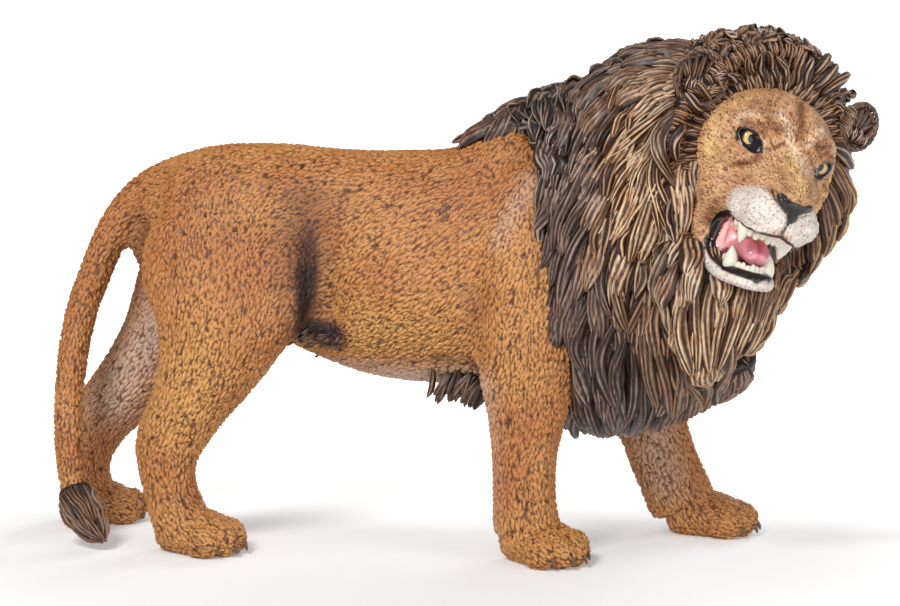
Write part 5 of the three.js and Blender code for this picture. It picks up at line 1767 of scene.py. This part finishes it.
def near_run(co, run, reach):
    """How near points are to a run of points, from 0 at its reach to 1 on it."""
    run = np.array(run, float)[:, :3]
    away = np.min([segment_distance(co, a, b) for a, b in zip(run, run[1:])], axis=0)
    return np.clip(1.0 - away / reach, 0.0, 1.0)


def seen_at(points):
    """Where points of the figure stand in the photograph, in pixels."""
    ray = points - Sight.eye
    far = -(ray @ Sight.back)
    across, up = LENS_PIXELS * (ray @ Sight.right) / far, LENS_PIXELS * (ray @ Sight.up) / far
    return np.stack([MIDDLE_U + across, MIDDLE_V - up], axis=1)

def seen_folded(at):
    """Where points of the head stand in the photograph, with the far half laid over the near one."""
    return seen_at(out_of_head(np.stack([at[:, 0], -np.abs(at[:, 1]), at[:, 2]], axis=1)))


def marked(at, what):
    """The amount of one kind of mark at points of the head: the strongest up and down, added."""
    near_half = seen_folded(at)
    as_seen = seen_at(out_of_head(at))
    front = step(-7.5, -5.0, at[:, 0])
    middle = front * step(4.6, 3.6, np.abs(at[:, 1])) * step(-14.0, -12.5, at[:, 2])
    jaw = front * step(-11.0, -12.5, at[:, 2])
    upper = front * step(-15.5, -14.0, at[:, 2])
    up, down = np.zeros(len(at)), np.zeros(len(at))
    tables = ((SIDE_MARKS, near_half, upper), (MIDDLE_MARKS, as_seen, middle), (JAW_MARKS, as_seen, jaw))
    for table, place, where in tables:
        for kind, radius, amount, run in table:
            if kind == what:
                away = np.min([segment_distance(place, a, b) for a, b in zip(run, run[1:])], axis=0)
                laid = amount * where * np.exp(-((away / radius) ** 2))
                up, down = np.maximum(up, laid), np.minimum(down, laid)
    return up + down


def in_mouth(at):
    """Which points of the head lie within the loop of the lips, looking into the mouth."""
    loop = lip_loop(72)
    middle = loop.mean(axis=0)
    back = unit(MOUTH_BACK - middle)
    across = unit(np.cross(back, (0.0, 1.0, 0.0)))
    up = np.cross(back, across)

    def flat(points):
        away = points - middle
        return np.arctan2(away @ up, away @ across), np.hypot(away @ up, away @ across)

    turn, reach = flat(loop)
    order = np.argsort(turn)
    turned, far = flat(at)
    edge = np.interp(turned, turn[order], reach[order], period=2.0 * math.pi)
    deep = (at - middle) @ back
    return (far < edge * np.where(deep > 1.0, 1.04, 0.95)) & (deep > -2.5) & (deep < 9.0)


def face_way(co):
    """Face hair runs back from the nose, and down over the jaw."""
    way = co - NOSE_TIP
    way[:, 2] -= 6.0 * step(-15.0, -20.0, co[:, 2])
    return unit(way)


def make_head():
    rng = np.random.default_rng(21)
    skin = head_clay()
    at = coords(skin)
    lips = np.maximum.reduce([near_run(at, mirrored_points(UPPER_LIP, side), 0.5) for side in (1, -1)])
    lips = np.maximum.reduce([lips, *(near_run(at, lower_lip(side), 1.5) for side in (1, -1))])
    lids = np.maximum.reduce([
        near_run(at, mirrored_points(lid, side), 0.8) for lid in (UPPER_LID, LOWER_LID) for side in (1, -1)
    ])
    black, white = marked(at, "black"), np.clip(marked(at, "white"), 0.0, 1.0)
    bare = np.maximum.reduce([step(0.05, 0.4, lips), step(0.1, 0.5, lids), step(0.5, 0.9, black)])
    depth, *stroke = FACE_FUR
    relief = furred(skin, face_way, depth * (1.0 - bare) * (1.0 - 0.45 * white), *stroke, rng)
    near_half = seen_folded(at)
    dots = np.max([np.exp(-(np.sum((near_half - spot) ** 2, axis=1) / 0.8)) for spot in WHISKER_DOTS], axis=0)
    dots = dots * step(2.0, 5.0, at[:, 0])
    attribute(skin, "relief", np.where(bare > 0.5, 1.0, relief))
    attribute(skin, "white", white)
    for name in ("pale", "gold", "brown"):
        attribute(skin, name, np.clip(marked(at, name), 0.0, 1.0))
    dark = [step(0.1, 0.3, lips), step(0.35, 0.6, lids), step(0.4, 0.75, black), dots * 0.7]
    attribute(skin, "black", np.maximum.reduce(dark))
    attribute(skin, "inside", in_mouth(at).astype(float))
    attribute(skin, "wet", np.maximum(step(0.5, 0.9, black), step(0.2, 0.5, lips)))
    head_piece("head_skin", skin, ["head", "lower_jaw"], face_paint())


def hair_lines(paint, root, across, along):
    """Fine lines away from a root: noise drawn out along the distance from it."""
    away = paint.node("ShaderNodeVectorMath", {"operation": "SUBTRACT"}, {0: paint.where, 1: root}).outputs[0]
    length = paint.node("ShaderNodeVectorMath", {"operation": "LENGTH"}, {0: away})
    far = Value(paint, length.outputs["Value"])
    way = paint.node("ShaderNodeVectorMath", {"operation": "NORMALIZE"}, {0: away}).outputs[0]
    sockets = {"Vector": way, "W": far * (1000.0 / along / across), "Scale": across, "Detail": 1.5}
    made = paint.node("ShaderNodeTexNoise", {"noise_dimensions": "4D"}, sockets)
    return Value(paint, made.outputs[0])


def face_paint():
    paint = Paint("face_paint", Roughness=0.5)
    relief, white, gold = paint.mask("relief"), paint.mask("white"), paint.mask("gold")
    brown, black, wet = paint.mask("brown"), paint.mask("black"), paint.mask("wet")
    patch = paint.noise(2.5) - 0.5
    lines = hair_lines(paint, framed(out_of_head(NOSE_TIP)), 34.0, 1.6) - 0.5
    colour = paint.mix(paint.between(paint.noise(3.0), 0.3, 0.7), srgb(198, 146, 104), srgb(214, 166, 122))
    colour = paint.mix(gold, colour, srgb(234, 192, 132))
    # Pale: partly paler paint, partly painted highlight on the ridges.
    colour = paint.mix(paint.mask("pale") + patch * 0.2, colour, srgb(238, 212, 188))
    # Brown: partly brown paint, partly painted shade in the creases and hollows.
    colour = paint.mix(brown + patch * brown * 0.6, colour, srgb(134, 84, 52))
    colour = paint.mix(paint.between(white + patch * 0.3, 0.1, 0.7), colour, srgb(236, 224, 214))
    # Darker in the fur's grooves: partly the wash of the paint, partly painted shade.
    groove = 1.0 - paint.between(relief + lines * 1.1, 0.25, 0.9)
    dark = paint.mix(white, paint.mix(brown, srgb(92, 50, 24), srgb(60, 30, 16)), srgb(150, 122, 106))
    colour = paint.mix(groove * (0.9 - white * 0.3), colour, dark)
    colour = paint.mix(paint.between(lines, 0.02, 0.2) * 0.7, colour, srgb(252, 232, 204), "SOFT_LIGHT")
    colour = paint.mix(paint.mask("inside"), colour, srgb(122, 60, 62))
    colour = paint.mix(black, colour, srgb(26, 20, 20))
    paint.feed("Base Color", colour)
    paint.feed("Roughness", 0.55 - wet * 0.33)
    return paint.material


# Mouth: lining, tongue, gums and teeth

MOUTH_BACK = np.array((-6.0, 0.0, -15.2))


def lip_loop(count):
    upper = np.array(UPPER_LIP)[:, :3]
    right = upper * (1, -1, 1)
    whole = np.vstack([upper[:-1], lower_lip(1), lower_lip(-1)[::-1][1:], right[::-1][1:-1]])
    whole = np.vstack([whole, whole[:1]])
    run = smooth_run(whole, 400)
    gap = np.concatenate([[0.0], np.cumsum(np.linalg.norm(np.diff(run, axis=0), axis=1))])
    want = np.linspace(0.0, gap[-1], count, endpoint=False)
    return np.stack([np.interp(want, gap, run[:, k]) for k in range(3)], axis=1)


def mouth_lining():
    """The pink skin of the mouth, from the lips back to the throat, with a wall behind it."""
    sides = 72
    loop = lip_loop(sides)
    middle = loop.mean(axis=0)
    inner = [
        (0.0, 1.0), (0.1, 0.9), (0.2, 0.79), (0.34, 0.7),
        (0.55, 0.63), (0.78, 0.48), (0.94, 0.25), (1.0, 0.04),
    ]
    rings = inner[::-1] + [(depth + 0.03, scale + 0.07) for depth, scale in inner]
    mesh = unit_tube(len(rings), sides)
    flat = coords(mesh)
    ring = np.rint(flat[:, 0]).astype(int)
    turn = np.rint(np.arctan2(flat[:, 2], flat[:, 1]) / (2 * math.pi) * sides).astype(int) % sides
    depth, scale = np.array(rings)[ring].T
    out = loop[turn] - middle
    back = MOUTH_BACK - middle
    co = middle + out * scale[:, None]
    co = co + (back - dot(out, unit(back))[:, None] * unit(back)) * depth[:, None]
    fold = 0.22 * np.sin(turn / sides * 2 * math.pi * 9 + depth * 9.0)
    fold = fold * step(0.0, 0.3, depth) * step(1.0, 0.7, depth)
    co = co + unit(out) * fold[:, None]
    set_coords(mesh, co)
    bm = bmesh.new()
    bm.from_mesh(mesh)
    bmesh.ops.recalc_face_normals(bm, faces=bm.faces)
    bm.to_mesh(mesh)
    bm.free()
    return mesh


TONGUE = [
    (-4.5, 0.2, -16.8, 1.2, 2.0),
    (-2.0, 0.3, -16.2, 1.7, 2.5),
    (1.0, 0.4, -16.0, 1.9, 2.6),
    (3.2, 0.5, -16.2, 1.9, 2.5),
    (4.8, 0.5, -16.9, 1.5, 2.1),
    (5.6, 0.5, -17.5, 0.7, 1.3),
]


def tongue_mesh():
    mesh = joined([tube(TONGUE, 36, 40)])
    co = coords(mesh)
    groove = np.exp(-(((co[:, 1] - 0.45) / 0.5) ** 2)) * step(-16.8, -15.4, co[:, 2])
    co[:, 2] -= 0.55 * groove
    bumps = np.sin(co[:, 0] * 9.0) * np.sin(co[:, 1] * 9.0 + 1.3)
    co[:, 2] += 0.04 * bumps
    attribute(mesh, "groove", groove)
    set_coords(mesh, rolled_points(co))
    return mesh


# Teeth: (root, tip, radius at the root), upper then lower
UPPER_TEETH = [
    ((6.4, -3.9, -12.3), (7.0, -3.9, -15.8), 1.15),
    ((6.4, 3.1, -12.2), (7.0, 2.9, -16.0), 1.4),
]
LOWER_TEETH = [
    ((3.4, -3.0, -19.0), (4.2, -3.6, -16.0), 1.15),
    ((3.4, 3.0, -19.2), (4.2, 2.6, -16.0), 1.25),
]


def tooth(root, tip, radius):
    root, tip = np.array(root), np.array(tip)
    rows = []
    for s, wide in ((0.0, 1.0), (0.2, 1.02), (0.45, 0.85), (0.7, 0.58), (0.88, 0.3), (1.0, 0.08)):
        at = root + (tip - root) * s
        at[0] += s * (1.0 - s)
        rows.append((*at, radius * wide))
    return cord_of(rows, 14, 14)


def small_teeth(places, rise, radius):
    out = []
    for k, at in enumerate(places):
        at = np.array(at)
        tip = at + np.array((0.15, 0.0, rise * (1.0 + 0.12 * math.sin(k * 2.4))))
        shape = ((0.0, 0.95), (0.4, 1.05), (0.75, 0.85), (1.0, 0.3))
        rows = [(*(at + (tip - at) * s), radius * wide) for s, wide in shape]
        out.append(cord_of(rows, 8, 10))
    return out


def bow(half, count, inset=0.0):
    """Places along a bow over the middle, from right to left."""
    half = np.array(half, float)
    whole = np.vstack([half * (1, -1, 1), half[::-1][1:]])
    run = smooth_run(whole, 100)
    return run[np.linspace(inset * 100, 100 - inset * 100, count).astype(int)]


UPPER_BOW = [(2.0, 3.9, -12.3), (6.0, 3.4, -12.6), (8.2, 1.9, -12.8), (8.8, 0.0, -12.8)]
LOWER_BOW = [(0.0, 3.0, -19.0), (3.2, 2.6, -19.6), (5.0, 1.5, -19.8), (5.6, 0.0, -19.8)]


def gum_mesh(half, jaw):
    run = bow(half, 24)
    bm = tube([(*p, 0.75, 0.7) for p in run], 46, 14, across=UP)
    return joined([rolled(bm) if jaw else bm])


def make_mouth():
    # The lining glows faintly in its own pink: painted light that lifts the shade inside the mouth.
    pink = Paint("mouth_paint", Roughness=0.25, Coat_Weight=0.6, Emission_Strength=0.16)
    blotch = pink.noise(1.6)
    rose = pink.mix(blotch, srgb(232, 156, 158), srgb(250, 204, 200))
    deep = pink.mix(pink.between(pink.noise(3.0), 0.5, 0.8), rose, srgb(214, 122, 126))
    pink.feed("Base Color", deep)
    pink.feed("Emission Color", deep)
    head_piece("mouth_lining", mouth_lining(), ["mouth_cup"], pink.material)

    wet = Paint("tongue_paint", Roughness=0.2, Coat_Weight=0.8)
    colour = wet.mix(wet.noise(1.2), srgb(204, 116, 130), srgb(228, 158, 166))
    # Darker along the middle groove: painted shade.
    wet.feed("Base Color", wet.mix(wet.mask("groove") * 0.7, colour, srgb(166, 76, 92)))
    head_piece("tongue_skin", tongue_mesh(), ["tongue"], wet.material)

    enamel = Paint("enamel_paint", Roughness=0.22, Coat_Weight=0.4)
    shade = enamel.mix(enamel.noise(1.5), srgb(238, 236, 220), srgb(216, 214, 190))
    enamel.feed("Base Color", shade)
    upper = [tooth(*row) for row in UPPER_TEETH]
    upper += small_teeth(bow(UPPER_BOW, 7, 0.26) + (0.3, -0.5, 0.0), -1.7, 0.62)
    upper += small_teeth([(3.8, -4.2, -12.5), (3.8, 3.8, -12.5)], -1.0, 0.55)
    lower = [tooth(*row) for row in LOWER_TEETH]
    lower += small_teeth(bow(LOWER_BOW, 7, 0.27) + (0.2, -0.1, 0.1), 1.5, 0.56)
    lower += small_teeth([(1.2, -3.2, -18.4), (1.2, 3.2, -18.4)], 1.0, 0.5)
    for bm in lower:
        rolled(bm)
    gums = Paint("gum_paint", Roughness=0.25, Coat_Weight=0.5)
    gums.feed("Base Color", gums.mix(gums.noise(1.0), srgb(120, 62, 62), srgb(44, 26, 28)))
    for name, forms, half, jaw in (("upper", upper, UPPER_BOW, False), ("lower", lower, LOWER_BOW, True)):
        head_piece(f"{name}_teeth_enamel", joined(forms), [f"{name}_teeth"], enamel.material)
        head_piece(f"{name}_gum", gum_mesh(half, jaw), [f"{name}_teeth"], gums.material)


# Eyes: glossy balls with the iris painted round the way they look

def make_eyes():
    paint = Paint("eye_paint", Roughness=0.08, Specular_IOR_Level=0.3, Coat_Weight=0.4)
    away = paint.mask("away")
    rays = paint.noise(0.5)
    amber = paint.mix(rays, srgb(244, 212, 140), srgb(206, 154, 76))
    amber = paint.mix(paint.between(away, 1.15, 1.45), amber, srgb(120, 74, 32))
    dark = paint.between(away, 0.78, 0.7).maths("MAXIMUM", paint.between(away, 1.42, 1.55))
    paint.feed("Base Color", paint.mix(dark, amber, srgb(14, 10, 10)))
    for side, name in ((-1, "right"), (1, "left")):
        mesh = joined([egg((0.0, 0.0, 0.0), (EYE_RADIUS,) * 3, Matrix.Rotation(math.pi / 2, 4, "Y"), 48, 32)])
        ball = coords(mesh)
        aim = unit(np.array((1.0, -0.05, 0.0)))
        off = np.linalg.norm(ball - (ball @ aim)[:, None] * aim, axis=1)
        attribute(mesh, "away", np.where(ball @ aim > 0, off, EYE_RADIUS))
        set_coords(mesh, out_of_head(ball + np.array(EYE_AT) * (1, side, 1)))
        finished(f"eye_{name}_ball", mesh, [f"eye_{name}"], paint.material)


coat = make_coat()
make_belly_hair(tree_of(coat), hair_paint("belly_hair_paint"))
split_coat(coat)
make_claws()
make_mane()
make_head()
make_mouth()
make_eyes()
